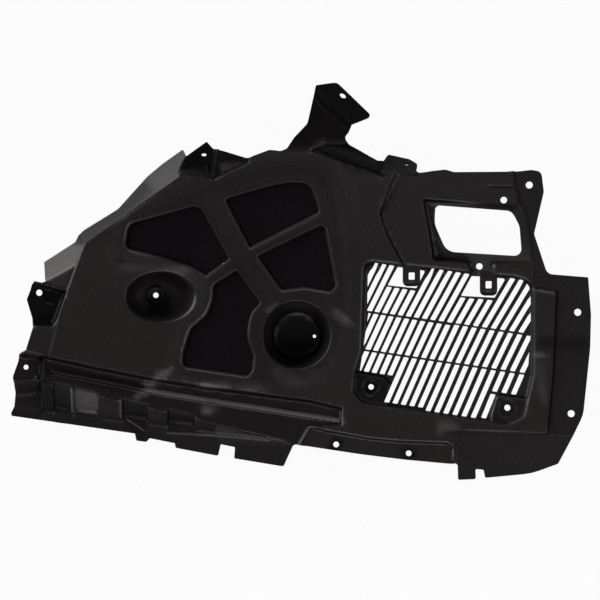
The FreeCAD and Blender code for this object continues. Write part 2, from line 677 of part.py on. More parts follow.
HOLES = [
    ("hole_top_edge", 274.5, 115.5, "edge_hole_diameter"),
    ("hole_right_edge", 333, -37, "edge_hole_diameter"),
    ("hole_low_right_edge", 325, -158.5, "edge_hole_diameter"),
    ("hole_frame_top", 244, 97.5, "frame_hole_diameter"),
    ("hole_frame_low", 215, 18, "frame_hole_diameter"),
    ("hole_tab_left", -314, -13.5, "tab_hole_diameter"),
    ("hole_low_tab", -330, -103, "low_tab_hole_diameter"),
    ("hole_strip_left", 43, -195.5, "strip_hole_diameter"),
    ("hole_strip_right", 130, -206, "strip_hole_diameter"),
    ("hole_boss_left", 85, -126.5, "boss_left_hole_diameter"),
    ("hole_boss_right", 248.5, -151.5, "boss_right_hole_diameter"),
    ("hole_oval_cup", -174.5, -16.5, "oval_cup_hole_diameter"),
    ("hole_round_cup", 17, -66, "round_cup_hole_diameter"),
]
for hole in HOLES:
    cuts.append(upright_hole(*hole))

# The pierced outline is raised once and trims the skin between the two envelopes
pierced = joined("Part::Cut", "pierced_outline", flat_outline("outer_outline", OUTLINE),
                 fused("opening_outlines", cuts))
silhouette = doc.addObject("Part::Extrusion", "silhouette")
silhouette.Base = pierced
silhouette.DirMode = "Custom"
silhouette.Dir = FreeCAD.Vector(0, 0, 1)
silhouette.Solid = True
silhouette.setExpression("LengthFwd", "sizes.tool_height")
folded_holes = fused("folded_holes", [
    square_hole("hole_arm", 51.5, 224, arm_normal, arm_plane, "arm_hole_diameter"),
    square_hole("hole_bracket", -116, 153.5, bracket_normal, bracket_plane,
                "bracket_hole_diameter"),
    square_hole("hole_tower", 128, 141.5, tower_normal, tower_plane, "tower_hole_diameter"),
])
visible = joined("Part::Cut", "visible_side", envelope("visible", 0), folded_holes)
hidden = envelope("hidden", WALL)
skin = joined("Part::Cut", "skin", visible, hidden)
opened = joined("Part::Common", "opened_skin", skin, silhouette)

# Clip tabs that reach over the bays of the grille, and the ribs between its rows
extras = []
CLIPS = [
    ("clip_left", 133.4, 22, -5.8, "plate_drop", 133.7, 6.5),
    ("clip_right", 226.1, 12, -17, "recess_floor_drop", 226.2, -3.9),
]
for name, x, root_y, tip_y, level, window_x, window_y in CLIPS:
    half = size("clip_tab_width") / 2
    high = surface((root_y + tip_y) / 2, -size(level))
    turn = size("clip_tip_corner")
    corners = [(x - half, root_y), (x + half, root_y), (x + half, tip_y, turn),
               (x - half, tip_y, turn)]
    wx, wy = size("clip_window_width") / 2, size("clip_window_height") / 2
    window = [(window_x - wx, window_y - wy, 1), (window_x + wx, window_y - wy, 1),
              (window_x + wx, window_y + wy, 1), (window_x - wx, window_y + wy, 1)]
    extras.append(joined("Part::Cut", name, column(name + "_plate", corners, high - WALL, high),
                         prism(name + "_window", window)))
for number, (first, second) in enumerate(RIBS, start=1):
    middle_y = (first[1] + second[1]) / 2
    floor = surface(middle_y, -size("grille_drop"))
    extras.append(column(f"rib_{number}", bar_corners(first, second, size("rib_width")),
                         floor - 1, floor + size("rib_rise")))

liner = fused("fender_liner", [opened] + extras)
liner.Label = "fender_liner"

doc.recompute()

for item in doc.Objects:
    if "Invalid" in item.State or "Error" in item.State:
        raise RuntimeError(f"{item.Name} did not compute: {item.State}")
shape = liner.Shape
if shape.isNull() or not shape.isValid():
    raise RuntimeError("fender_liner has no valid shape")
if len(shape.Solids) != 1:
    for solid in sorted(shape.Solids, key=lambda s: -s.Volume):
        print("solid", round(solid.Volume, 1), solid.BoundBox)
box = shape.BoundBox
print("solids", len(shape.Solids), "volume", round(shape.Volume))
print("box", box, "centre", shape.CenterOfGravity)

os.makedirs("parts", exist_ok=True)
shape.exportStep("parts/fender_liner.step")
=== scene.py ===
"""Dresses the fender liner, one moulded black sheet.

The sheet has four textured fields, two screw cups, an open grille and folded tabs.
"""

import logging
import math
from dataclasses import dataclass, field
from enum import Enum
from functools import cached_property

import bpy
import numpy as np
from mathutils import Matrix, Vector, geometry


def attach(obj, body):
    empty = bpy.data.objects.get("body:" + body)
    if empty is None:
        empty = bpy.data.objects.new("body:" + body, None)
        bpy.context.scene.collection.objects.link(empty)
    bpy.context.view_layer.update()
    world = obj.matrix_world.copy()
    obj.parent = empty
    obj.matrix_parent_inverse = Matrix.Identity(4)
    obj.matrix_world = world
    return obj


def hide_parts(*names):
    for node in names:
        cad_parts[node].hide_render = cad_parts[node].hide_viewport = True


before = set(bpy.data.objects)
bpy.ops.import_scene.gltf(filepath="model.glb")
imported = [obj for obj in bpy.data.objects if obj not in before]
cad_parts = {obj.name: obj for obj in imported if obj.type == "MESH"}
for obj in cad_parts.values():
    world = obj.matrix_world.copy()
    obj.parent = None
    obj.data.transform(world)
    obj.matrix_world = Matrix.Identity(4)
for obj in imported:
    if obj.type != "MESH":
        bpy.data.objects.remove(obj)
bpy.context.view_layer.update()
LOG = logging.getLogger("fender_liner")
MM = 0.001
# A point in mm: x and y, then its height or the radius of the corner there
Corner = tuple[float, ...]
# A place in metres, or a direction
Place = tuple[float, float, float]
Colour = tuple[float, float, float]
# Largest turn of one side of a rounded corner
ARC_STEP = math.radians(15)
# Turn in radians below which a corner gets no arc
LEAST_TURN = 0.01
# Most of a straight side that the arc of one corner uses
TRIM_SHARE = 0.48
# Distance in mm beyond an opening's box where points count as clear of it
OPENING_REACH = 3.0
# Twice the area, in square mm, of the widest sliver left out beside the rim
SLIVER = 0.4
# Shortest side in mm of a trimmed outline
SHORTEST_SIDE = 0.05
# Distance between the rows of a triangular lattice, as a share of its pitch
LATTICE_ROW = 0.866
HOLE_SIDES = 20
ELLIPSE_SIDES = 40


def smooth_step(values: np.ndarray) -> np.ndarray:
    """Eased ramp from 0 to 1 of values clamped to that range."""
    t = np.clip(values, 0.0, 1.0)
    return t * t * (3.0 - 2.0 * t)


def soft_min(first: np.ndarray, second: np.ndarray, width: float) -> np.ndarray:
    """Lower of two heights, rounded where they cross.

    Args:
        first: Heights in mm.
        second: Heights in mm.
        width: Height difference over which the crossing is rounded.

    Returns:
        The blended lower height.
    """
    if width <= 0:
        return np.minimum(first, second)
    share = np.clip(0.5 + 0.5 * (second - first) / width, 0.0, 1.0)
    return second + (first - second) * share - width * share * (1.0 - share)


def soft_max(first: np.ndarray, second: np.ndarray, width: float) -> np.ndarray:
    """Higher of two heights, rounded where they cross."""
    return -soft_min(-first, -second, width)


def squared_gap(points: np.ndarray, start: np.ndarray, end: np.ndarray) -> np.ndarray:
    """Squared distance of points to a straight side.

    Args:
        points: Rows of x and y.
        start: First end of the side.
        end: Other end of the side.

    Returns:
        One squared distance for each point.
    """
    side = end - start
    along = np.clip(((points - start) @ side) / float(side @ side), 0, 1)
    gap = points - start - along[:, None] * side
    return (gap * gap).sum(1)


def rows_beside(line: tuple[Corner, ...], spacing: float, offsets: tuple[float, ...]) -> list[np.ndarray]:
    """Rows of points on both sides of an open line.

    Args:
        line: Corners of the line, x and y in mm.
        spacing: Distance in mm between the points of a row, at most.
        offsets: Sideways distance of each row in mm.

    Returns:
        One row of x and y for each offset and each straight part of the line.
    """
    rows = []
    for start, end in zip(line, line[1:]):
        start, end = np.array(start, float), np.array(end, float)
        length = float(np.linalg.norm(end - start))
        along = (end - start) / length
        side = np.array((along[1], -along[0]))
        marks = np.linspace(0, length, max(2, math.ceil(length / spacing)))
        rows.extend(start + marks[:, None] * along + side * offset for offset in offsets)
    return rows


@dataclass(frozen=True)
class Outline:
    """Closed outline in mm, from corners of x, y and an optional radius."""

    corners: tuple[Corner, ...]

    @cached_property
    def loop(self) -> np.ndarray:
        """Points round the outline, anticlockwise, with arcs at the rounded corners.

        Returns:
            Rows of x and y.
        """
        pts = [np.array(c[:2], float) for c in self.corners]
        radii = [c[2] if len(c) > 2 else 0.0 for c in self.corners]
        area = sum(a[0] * b[1] - b[0] * a[1] for a, b in zip(pts, pts[1:] + pts[:1]))
        if area < 0:
            pts.reverse()
            radii.reverse()
        out = []
        for i, (here, radius) in enumerate(zip(pts, radii)):
            out.extend(self.arc(here, pts[i - 1], pts[(i + 1) % len(pts)], radius))
        return np.array(out)

    @staticmethod
    def arc(here: np.ndarray, before: np.ndarray, after: np.ndarray, radius: float) -> list[np.ndarray]:
        """Points that round one corner.

        Args:
            here: The corner.
            before: The corner before it.
            after: The corner after it.
            radius: Radius in mm, which short sides make smaller.

        Returns:
            The points of the arc, or the corner itself where it gets none.
        """
        back, ahead = before - here, after - here
        back_length, ahead_length = np.linalg.norm(back), np.linalg.norm(ahead)
        back, ahead = back / back_length, ahead / ahead_length
        angle = math.acos(float(np.clip(back @ ahead, -1, 1)))
        if radius <= 0 or angle > math.pi - LEAST_TURN:
            return [here]
        trim = min(radius / math.tan(angle / 2), TRIM_SHARE * back_length, TRIM_SHARE * ahead_length)
        bend = trim * math.tan(angle / 2)
        middle = here + (back + ahead) / np.linalg.norm(back + ahead) * bend / math.sin(angle / 2)
        start, end = here + back * trim - middle, here + ahead * trim - middle
        turn = math.pi - angle
        steps = max(2, math.ceil(turn / ARC_STEP))
        sign = 1.0 if start[0] * end[1] - start[1] * end[0] > 0 else -1.0
        points = []
        for k in range(steps + 1):
            a = sign * turn * k / steps
            c, s = math.cos(a), math.sin(a)
            points.append(middle + np.array((start[0] * c - start[1] * s, start[0] * s + start[1] * c)))
        return points

    def evenly(self, step: float) -> np.ndarray:
        """The loop with no side longer than the step.

        Args:
            step: Longest side in mm.

        Returns:
            Rows of x and y.
        """
        out = []
        for a, b in zip(self.loop, np.roll(self.loop, -1, axis=0)):
            parts = max(1, math.ceil(float(np.linalg.norm(b - a)) / step))
            out.extend(a + (b - a) * k / parts for k in range(parts))
        return np.array(out)

    def offset(self, step: float, distance: float) -> np.ndarray:
        """Points of the loop moved sideways.

        Args:
            step: Longest side of the loop in mm before the move.
            distance: How far outward the points move, in mm.

        Returns:
            Rows of x and y.
        """
        pts = self.evenly(step)
        tangent = np.roll(pts, -1, axis=0) - np.roll(pts, 1, axis=0)
        tangent /= np.maximum(np.linalg.norm(tangent, axis=1, keepdims=True), 1e-9)
        return pts + np.stack((tangent[:, 1], -tangent[:, 0]), axis=1) * distance

    def inside(self, border: "Outline") -> "Outline":
        """The part of this outline that lies within a border without hollows.

        Args:
            border: The outline that trims this one.

        Returns:
            The trimmed outline, with plain corners.
        """
        loop = list(self.loop)
        for a, b in zip(border.loop, np.roll(border.loop, -1, axis=0)):
            side = b - a
            kept = []
            for p, q in zip(loop, loop[1:] + loop[:1]):
                here = side[0] * (p[1] - a[1]) - side[1] * (p[0] - a[0])
                there = side[0] * (q[1] - a[1]) - side[1] * (q[0] - a[0])
                if here >= 0:
                    kept.append(p)
                if (here > 0) != (there > 0) and abs(here - there) > 1e-9:
                    kept.append(p + (q - p) * here / (here - there))
            loop = kept
        tidy = [p for k, p in enumerate(loop) if np.linalg.norm(p - loop[k - 1]) > SHORTEST_SIDE]
        return Outline(tuple((float(p[0]), float(p[1])) for p in tidy))

    def distance(self, points: np.ndarray, reach: float = 30.0) -> np.ndarray:
        """Distance of points to the outline in mm, negative inside.

        Args:
            points: Rows of x and y.
            reach: Distance beyond the box of the outline where points count as far.

        Returns:
            One distance for each point.
        """
        result = np.full(len(points), reach)
        low, high = self.loop.min(0) - reach, self.loop.max(0) + reach
        near = np.all((points > low) & (points < high), axis=1)
        pts = points[near]
        best = np.full(len(pts), np.inf)
        inside = np.zeros(len(pts), bool)
        for a, b in zip(self.loop, np.roll(self.loop, -1, axis=0)):
            side = b - a
            if float(side @ side) < 1e-12:
                continue
            best = np.minimum(best, squared_gap(pts, a, b))
            if a[1] != b[1]:
                crosses = (a[1] > pts[:, 1]) != (b[1] > pts[:, 1])
                inside ^= crosses & (pts[:, 0] < side[0] * (pts[:, 1] - a[1]) / side[1] + a[0])
        result[near] = np.where(inside, -1.0, 1.0) * np.sqrt(best)
        return result


@dataclass(frozen=True)
class Crown:
    """Gentle hollow of the whole sheet about an axis along X."""

    radius: float = 1500.0
    low_y: float = -58.0
    base: float = 55.0

    def height(self, y: np.ndarray | float, level: float = 0.0) -> np.ndarray:
        """Height in mm of the face that lies one level above the hollow."""
        return self.base + self.radius - np.sqrt((self.radius - level) ** 2 - (y - self.low_y) ** 2)


@dataclass(frozen=True)
class Levels:
    """Heights of the parts of the face in mm above the hollow."""

    plateau: float = 3.5
    textured: float = 0.8
    plate: float = -4.0
    flange_right: float = -2.5
    grille: float = -11.0
    sill: float = -6.0
    bead: float = -3.2
    strip_right: float = -5.0
    boss: float = -5.0
    top_hollow: float = -3.0
    ledge: float = 5.0
    bay: float = -13.0
    tab_left: float = -16.0
    low_tab: float = -20.0


CROWN = Crown()
LEVELS = Levels()


@dataclass(frozen=True)
class Plane:
    """Plane through three points in mm, read as a height over x and y."""

    first: Corner
    second: Corner
    third: Corner

    @cached_property
    def normal(self) -> np.ndarray:
        """Unit normal that points up.

        Returns:
            Its x, y and z.
        """
        p, q, r = (np.array(v, float) for v in (self.first, self.second, self.third))
        n = np.cross(q - p, r - p)
        return n / np.linalg.norm(n) * (1.0 if n[2] > 0 else -1.0)

    def height(self, points: np.ndarray) -> np.ndarray:
        """Height of the plane over rows of x and y."""
        n, p = self.normal, self.first
        return p[2] - (n[0] * (points[:, 0] - p[0]) + n[1] * (points[:, 1] - p[1])) / n[2]


class Relief(Enum):
    """Which way a region moves the face."""

    RAISE = 1
    LOWER = -1


@dataclass(frozen=True)
class Region:
    """Part of the face at a level of its own, with eased walls.

    The wall runs from `outer` mm outside the outline to `inner` mm inside it,
    with a row of points at each of the `shares` of its width.
    """

    name: str
    outline: Outline
    level: float
    relief: Relief
    inner: float = 1.8
    outer: float = 0.6
    step: float = 4.0
    shares: tuple[float, ...] = (-0.9, 0.0, 0.16, 0.34, 0.5, 0.66, 0.84, 1.0, 1.9)

    def rings(self) -> list[np.ndarray]:
        """Rows of points along the wall, so that its bends are smooth."""
        span = self.inner + self.outer
        return [self.outline.offset(self.step, self.outer - span * share) for share in self.shares]

    def shape(self, points: np.ndarray, heights: np.ndarray) -> np.ndarray:
        """Moves the face to the region's level.

        Args:
            points: Rows of x and y.
            heights: Height of the face at each point.

        Returns:
            The new heights.
        """
        away = self.outline.distance(points)
        share = smooth_step((self.outer - away) / (self.inner + self.outer))
        move = CROWN.height(points[:, 1], self.level) - heights
        move = np.maximum(move, 0) if self.relief is Relief.RAISE else np.minimum(move, 0)
        return heights + share * move


@dataclass(frozen=True)
class Lip:
    """Thin raised line that follows an outline.

    Its rows of points lie at `shares` of its width from its centre.
    """

    name: str
    outline: Outline
    rise: float = 0.9
    centre: float = 1.2
    width: float = 1.1
    step: float = 3.0
    shares: tuple[float, ...] = (-1.6, -0.8, 0, 0.8, 1.6, 3)

    def rings(self) -> list[np.ndarray]:
        """Rows of points across the line."""
        return [self.outline.offset(self.step, self.centre + self.width * k) for k in self.shares]

    def shape(self, points: np.ndarray, heights: np.ndarray) -> np.ndarray:
        """Heights with the line added."""
        away = self.outline.distance(points)
        return heights + self.rise * np.exp(-(((away - self.centre) / self.width) ** 2))


@dataclass(frozen=True)
class Fold:
    """Part of the face that falls along one plane, or along the higher of two.

    Its rows of points lie at `offsets` in mm from its outline.
    """

    name: str
    outline: Outline
    planes: tuple[Plane, ...]
    blend: float = 3.0
    inner: float = 1.5
    outer: float = 0.5
    step: float = 4.0
    offsets: tuple[float, ...] = (-4.0, -2.4, -1.2, -0.5, 0.0, 0.6, 1.3, 2.6, 4.5)

    def rings(self) -> list[np.ndarray]:
        """Rows of points on both sides of the outline."""
        return [self.outline.offset(self.step, offset) for offset in self.offsets]

    def shape(self, points: np.ndarray, heights: np.ndarray) -> np.ndarray:
        """Takes the face down to the fold.

        Args:
            points: Rows of x and y.
            heights: Height of the face at each point.

        Returns:
            The new heights.
        """
        target = self.planes[0].height(points)
        for plane in self.planes[1:]:
            target = soft_max(target, plane.height(points), self.blend)
        away = self.outline.distance(points)
        share = smooth_step((self.outer - away) / (self.inner + self.outer))
        return heights + share * (soft_min(heights, target, self.blend) - heights)


@dataclass(frozen=True)
class Rib:
    """Low ridge, or a groove where its rise is negative, along an open line.

    Its rows of points lie at `shares` of its width from the line.
    """

    name: str
    points: tuple[Corner, ...]
    rise: float = 0.8
    width: float = 1.2
    spacing: float = 3.0
    shares: tuple[float, ...] = (-2.4, -1.4, -0.7, 0, 0.7, 1.4, 2.4)

    def rings(self) -> list[np.ndarray]:
        """Rows of points beside the line."""
        return rows_beside(self.points, self.spacing, tuple(self.width * share for share in self.shares))

    def shape(self, points: np.ndarray, heights: np.ndarray) -> np.ndarray:
        """Adds the line to the face.

        Args:
            points: Rows of x and y.
            heights: Height of the face at each point.

        Returns:
            The new heights.
        """
        best = np.full(len(points), np.inf)
        for a, b in zip(self.points, self.points[1:]):
            best = np.minimum(best, squared_gap(points, np.array(a, float), np.array(b, float)))
        return heights + self.rise * np.exp(-best / self.width**2)


@dataclass(frozen=True)
class Crease:
    """Line inside the face where two slopes meet, with rows of points at `offsets` in mm."""

    name: str
    points: tuple[Corner, ...]
    spacing: float = 4.0
    offsets: tuple[float, ...] = (-4, -2, -0.8, 0, 0.8, 2, 4)

    def rings(self) -> list[np.ndarray]:
        """Rows of points beside the line."""
        return rows_beside(self.points, self.spacing, self.offsets)

    def shape(self, points: np.ndarray, heights: np.ndarray) -> np.ndarray:
        """Heights unchanged: the line only places points."""
        return heights


@dataclass(frozen=True)
class Cup:
    """Deep screw well that narrows from its mouth to a smaller floor, with a rolled rim.

    Mouth and foot are each given by centre, half length and half width. Rows of points
    lie at `shares` of its depth, 0 at the mouth and 1 at the floor, where the well is
    wide enough for them.
    """

    name: str
    mouth: Corner
    foot: Corner
    floor: float = 2.5
    edge: float = 26.0
    rim: float = 7.0
    reach: float = 30.0
    sides: int = 96
    least_half: float = 3.0
    share_limits: tuple[float, float] = (-1.0, 1.6)
    halvings: int = 30
    shares: tuple[float, ...] = (
        -0.5, -0.34, -0.22, -0.14, -0.08, -0.04, 0, 0.04, 0.08, 0.14, 0.22, 0.34, 0.5, 0.66, 0.8,
        0.9, 0.98, 1.06, 1.14, 1.24, 1.34)

    def level(self, share: float) -> np.ndarray:
        """Points round the well at one depth.

        Args:
            share: Share of the well's depth.

        Returns:
            Rows of x and y.
        """
        x, y, long, wide = (a + (b - a) * share for a, b in zip(self.mouth, self.foot))
        turns = np.linspace(0, math.tau, self.sides, endpoint=False)
        return np.stack((x + long * np.cos(turns), y + wide * np.sin(turns)), axis=1)

    def half_width(self, share: float) -> float:
        """Half width of the well at a share of its depth."""
        return self.foot[3] + (self.mouth[3] - self.foot[3]) * (1 - share)

    def depth_share(self, points: np.ndarray) -> np.ndarray:
        """Finds how deep the wall is over each point, by halving.

        Args:
            points: Rows of x and y.

        Returns:
            The share of the depth at which the wall passes each point.
        """
        low, high = (np.full(len(points), limit) for limit in self.share_limits)
        for _ in range(self.halvings):
            middle = (low + high) / 2
            x, y, long, wide = (a + (b - a) * middle for a, b in zip(self.mouth, self.foot))
            size = np.maximum(long, 0.01), np.maximum(wide, 0.01)
            outside = ((points[:, 0] - x) / size[0]) ** 2 + ((points[:, 1] - y) / size[1]) ** 2 > 1
            high = np.where(outside, middle, high)
            low = np.where(outside, low, middle)
        return (low + high) / 2

    def rings(self) -> list[np.ndarray]:
        """Rows of points down the wall and round the floor and rim."""
        return [self.level(share) for share in self.shares if self.half_width(share) > self.least_half]

    def shape(self, points: np.ndarray, heights: np.ndarray) -> np.ndarray:
        """Sinks the well into the face.

        Args:
            points: Rows of x and y.
            heights: Height of the face at each point.

        Returns:
            The new heights.
        """
        apart = np.hypot(points[:, 0] - self.mouth[0], points[:, 1] - self.mouth[1])
        near = apart < self.mouth[2] + self.reach
        share = self.depth_share(points[near])
        top = float(CROWN.height(self.mouth[1]))
        wall = top - (top - self.floor) * share
        well = soft_max(wall, np.full(len(wall), self.floor), self.edge)
        result = heights.copy()
        result[near] = soft_min(heights[near], well, self.rim)
        return result


Shape = Region | Lip | Fold | Rib | Crease | Cup


def oval_hole(x: float, y: float, diameter: float, normal: np.ndarray | None = None) -> Outline:
    """Outline in plan of a round hole, narrowed where the face leans.

    Args:
        x: Place of its centre in mm.
        y: Place of its centre in mm.
        diameter: Diameter in mm.
        normal: Unit normal of a leaning face.

    Returns:
        The hole's outline.
    """
    lean = np.array((0.0, 0.0, 1.0)) if normal is None else normal
    flat = math.hypot(float(lean[0]), float(lean[1]))
    downhill = np.array((lean[0], lean[1])) / flat if flat > 1e-6 else np.array((1.0, 0.0))
    level = np.array((-downhill[1], downhill[0]))
    r = diameter / 2
    points = []
    for k in range(HOLE_SIDES):
        a = math.tau * k / HOLE_SIDES
        spot = downhill * (math.cos(a) * r * float(lean[2])) + level * (math.sin(a) * r)
        points.append((x + float(spot[0]), y + float(spot[1])))
    return Outline(tuple(points))


def ellipse(x: float, y: float, long: float, wide: float) -> Outline:
    """Outline of an ellipse along X, from its centre, half length and half width."""
    turns = np.linspace(0, math.tau, ELLIPSE_SIDES, endpoint=False)
    return Outline(tuple((x + long * math.cos(t), y + wide * math.sin(t)) for t in turns))


@dataclass(frozen=True)
class PaintedLight:
    """Patch of painted light: painted shade, darker up to 1, or painted highlight, paler down to -1."""

    name: str
    outline: Outline
    amount: float
    fade: float = 2.0

    def over(self, points: np.ndarray, light_paint: np.ndarray) -> np.ndarray:
        """Painted light at each point, with this area laid over the others."""
        share = smooth_step(-self.outline.distance(points) / self.fade + 0.5)
        return light_paint + share * (self.amount - light_paint)


@dataclass
class PointStore:
    """Points kept so far, filed by square cell so that near ones are found quickly."""

    cell: float = 1.0
    points: list[np.ndarray] = field(default_factory=list)
    cells: dict[tuple[int, int], list[np.ndarray]] = field(default_factory=dict)

    def home(self, point: np.ndarray) -> tuple[int, int]:
        """Cell that a point lies in."""
        return int(point[0] // self.cell), int(point[1] // self.cell)

    def add(self, point: np.ndarray) -> None:
        """Keeps a point."""
        self.points.append(point)
        self.cells.setdefault(self.home(point), []).append(point)

    def free(self, point: np.ndarray, gap: float) -> bool:
        """Whether a point is clear of all kept ones.

        Args:
            point: The new point.
            gap: Least distance in mm.

        Returns:
            True where no kept point lies within the gap.
        """
        cx, cy = self.home(point)
        reach = math.ceil(gap / self.cell)
        for ix in range(cx - reach, cx + reach + 1):
            for iy in range(cy - reach, cy + reach + 1):
                for kept in self.cells.get((ix, iy), ()):
                    if (point[0] - kept[0]) ** 2 + (point[1] - kept[1]) ** 2 < gap * gap:
                        return False
        return True


@dataclass
class Sheet:
    """Moulded sheet: a face of varying height over a pierced outline, with a wall's thickness.

    The face's height is `start`, or the crown's where there is none, before the reliefs
    shape it. `rim_gap` is the least distance of inner points from the rim, and
    `point_gap` the least distance between points. An inlay's own finish starts
    `inlay_step` mm inside its outline.
    """

    name: str
    outline: Outline
    openings: list[Outline]
    reliefs: list[Shape]
    inlays: list[Outline] = field(default_factory=list)
    light_paints: list[PaintedLight] = field(default_factory=list)
    wall: float = 2.5
    grid: float = 6.0
    edge_step: float = 4.0
    opening_step: float = 8.0
    rim_gap: float = 0.5
    point_gap: float = 0.42
    inlay_step: float = 0.9
    start: float | None = None

    def heights(self, points: np.ndarray) -> np.ndarray:
        """Height of the visible face.

        Args:
            points: Rows of x and y.

        Returns:
            One height in mm for each point.
        """
        base = CROWN.height(points[:, 1]) if self.start is None else np.full(len(points), self.start)
        for relief in self.reliefs:
            base = relief.shape(points, base)
        return base

    def place_points(self) -> tuple[np.ndarray, list[tuple[int, int]], int]:
        """Points of the face, the sides that stay whole, and how many points lie on the rim.

        Returns:
            Rows of x and y, pairs of point numbers, and the count of rim points.
        """
        store = PointStore()
        edges: list[tuple[int, int]] = []
        rims = [self.outline.evenly(self.edge_step)] + [o.evenly(self.opening_step) for o in self.openings]
        for loop in rims:
            first, count = len(store.points), len(loop)
            for point in loop:
                store.add(point)
            edges.extend((first + k, first + (k + 1) % count) for k in range(count))
        rim_count = len(store.points)
        rings = [row for relief in self.reliefs for row in relief.rings()]
        low, high = self.outline.loop.min(0), self.outline.loop.max(0)
        xs = np.arange(low[0], high[0], self.grid)
        ys = np.arange(low[1], high[1], self.grid * LATTICE_ROW)
        lattice = [(x + (j % 2) * self.grid / 2, y) for j, y in enumerate(ys) for x in xs]
        for row, gap in ((np.vstack(rings), self.point_gap), (np.array(lattice), self.grid * 0.5)):
            inside = self.outline.distance(row) < -self.rim_gap
            for opening in self.openings:
                inside &= opening.distance(row, OPENING_REACH) > self.rim_gap
            for point in row[inside]:
                if store.free(point, gap):
                    store.add(point)
        return np.array(store.points), edges, rim_count

    def triangles(self) -> tuple[np.ndarray, np.ndarray]:
        """Divides the face into triangles, leaving out the openings and slivers at the rim.

        Returns:
            Rows of x and y, and rows of three point numbers, anticlockwise.
        """
        points, edges, rim_count = self.place_points()
        found = geometry.delaunay_2d_cdt([Vector(p) for p in points], edges, [], 0, 1e-5)
        flat = np.array([tuple(v) for v in found[0]])
        tris = np.array([tuple(f) for f in found[2]], int)
        middle = flat[tris].mean(1)
        keep = self.outline.distance(middle) < 0
        for opening in self.openings:
            keep &= opening.distance(middle, OPENING_REACH) > 0
        a, b, c = (flat[tris[:, k]] for k in range(3))
        turn = (b[:, 0] - a[:, 0]) * (c[:, 1] - a[:, 1]) - (b[:, 1] - a[:, 1]) * (c[:, 0] - a[:, 0])
        tris[turn < 0] = tris[turn < 0][:, ::-1]
        sliver = (tris < rim_count).all(1) & (np.abs(turn) < SLIVER)
        tris = tris[keep & ~sliver]
        used = np.unique(tris)
        renumber = np.full(len(flat), -1)
        renumber[used] = np.arange(len(used))
        return flat[used], renumber[tris]

    @staticmethod
    def normals(top: np.ndarray, tris: np.ndarray) -> np.ndarray:
        """Normals of the face.

        Args:
            top: Points of the face.
            tris: Triangles of the face.

        Returns:
            The unit normal at each point.
        """
        corner = top[tris]
        face_normal = np.cross(corner[:, 1] - corner[:, 0], corner[:, 2] - corner[:, 0])
        normal = np.zeros_like(top)
        for k in range(3):
            np.add.at(normal, tris[:, k], face_normal)
        return normal / np.linalg.norm(normal, axis=1, keepdims=True)

    @staticmethod
    def open_sides(tris: np.ndarray) -> list[tuple[int, int]]:
        """Sides that only one triangle has.

        Args:
            tris: Triangles of the face.

        Returns:
            Pairs of point numbers, in the direction of their triangle.
        """
        sides: dict[tuple[int, int], None] = {}
        for t in tris:
            for k in range(3):
                i, j = int(t[k]), int(t[(k + 1) % 3])
                if (j, i) in sides:
                    del sides[(j, i)]
                else:
                    sides[(i, j)] = None
        return list(sides)

    @staticmethod
    def bend(top: np.ndarray, normal: np.ndarray, tris: np.ndarray) -> np.ndarray:
        """How sharply the face bends at each point.

        Args:
            top: Points of the face.
            normal: Unit normal at each point.
            tris: Triangles of the face.

        Returns:
            1 in a sharp hollow, -1 on a sharp ridge, 0 where the face is even.
        """
        even_below, sharp_span, least_spread = 0.03, 0.3, 0.04
        pairs = np.vstack((tris[:, (0, 1)], tris[:, (1, 2)], tris[:, (2, 0)]))
        pairs = np.unique(np.sort(pairs, axis=1), axis=0)
        pull, spread = np.zeros_like(top), np.zeros(len(top))
        for here, there in ((pairs[:, 0], pairs[:, 1]), (pairs[:, 1], pairs[:, 0])):
            gap = top[there] - top[here]
            np.add.at(pull, here, gap)
            np.add.at(spread, here, (gap * gap).sum(1))
        curve = 4 * (pull * normal).sum(1) / np.maximum(spread, least_spread)
        return np.sign(curve) * smooth_step((np.abs(curve) - even_below) / sharp_span)

    def light_paint_at(self, points: np.ndarray) -> np.ndarray:
        """Painted shade and painted highlight over the face.

        Args:
            points: Rows of x and y.

        Returns:
            Above 0 where shade is painted, below 0 where a highlight is painted.
        """
        light_paint = np.zeros(len(points))
        for area in self.light_paints:
            light_paint = area.over(points, light_paint)
        return light_paint

    def inlaid(self, middles: np.ndarray) -> np.ndarray:
        """Which triangles have the finish of the inlays.

        Args:
            middles: Rows of x and y of the triangles' middles.

        Returns:
            True for each triangle of an inlay.
        """
        found = np.zeros(len(middles), bool)
        for inlay in self.inlays:
            found |= inlay.distance(middles) < -self.inlay_step
        return found

    @staticmethod
    def mark_rim(mesh: bpy.types.Mesh, sides: list[tuple[int, int]], count: int) -> None:
        """Marks the rims of both faces as sharp.

        Args:
            mesh: The mesh of the sheet.
            sides: Sides of the upper rims.
            count: Number of points of the upper face.
        """
        rim = {tuple(sorted(side)) for side in sides}
        rim |= {(i + count, j + count) for i, j in rim}
        sharp = np.array([tuple(sorted(edge.vertices)) in rim for edge in mesh.edges], bool)
        mesh.attributes.new("sharp_edge", "BOOLEAN", "EDGE").data.foreach_set("value", sharp)

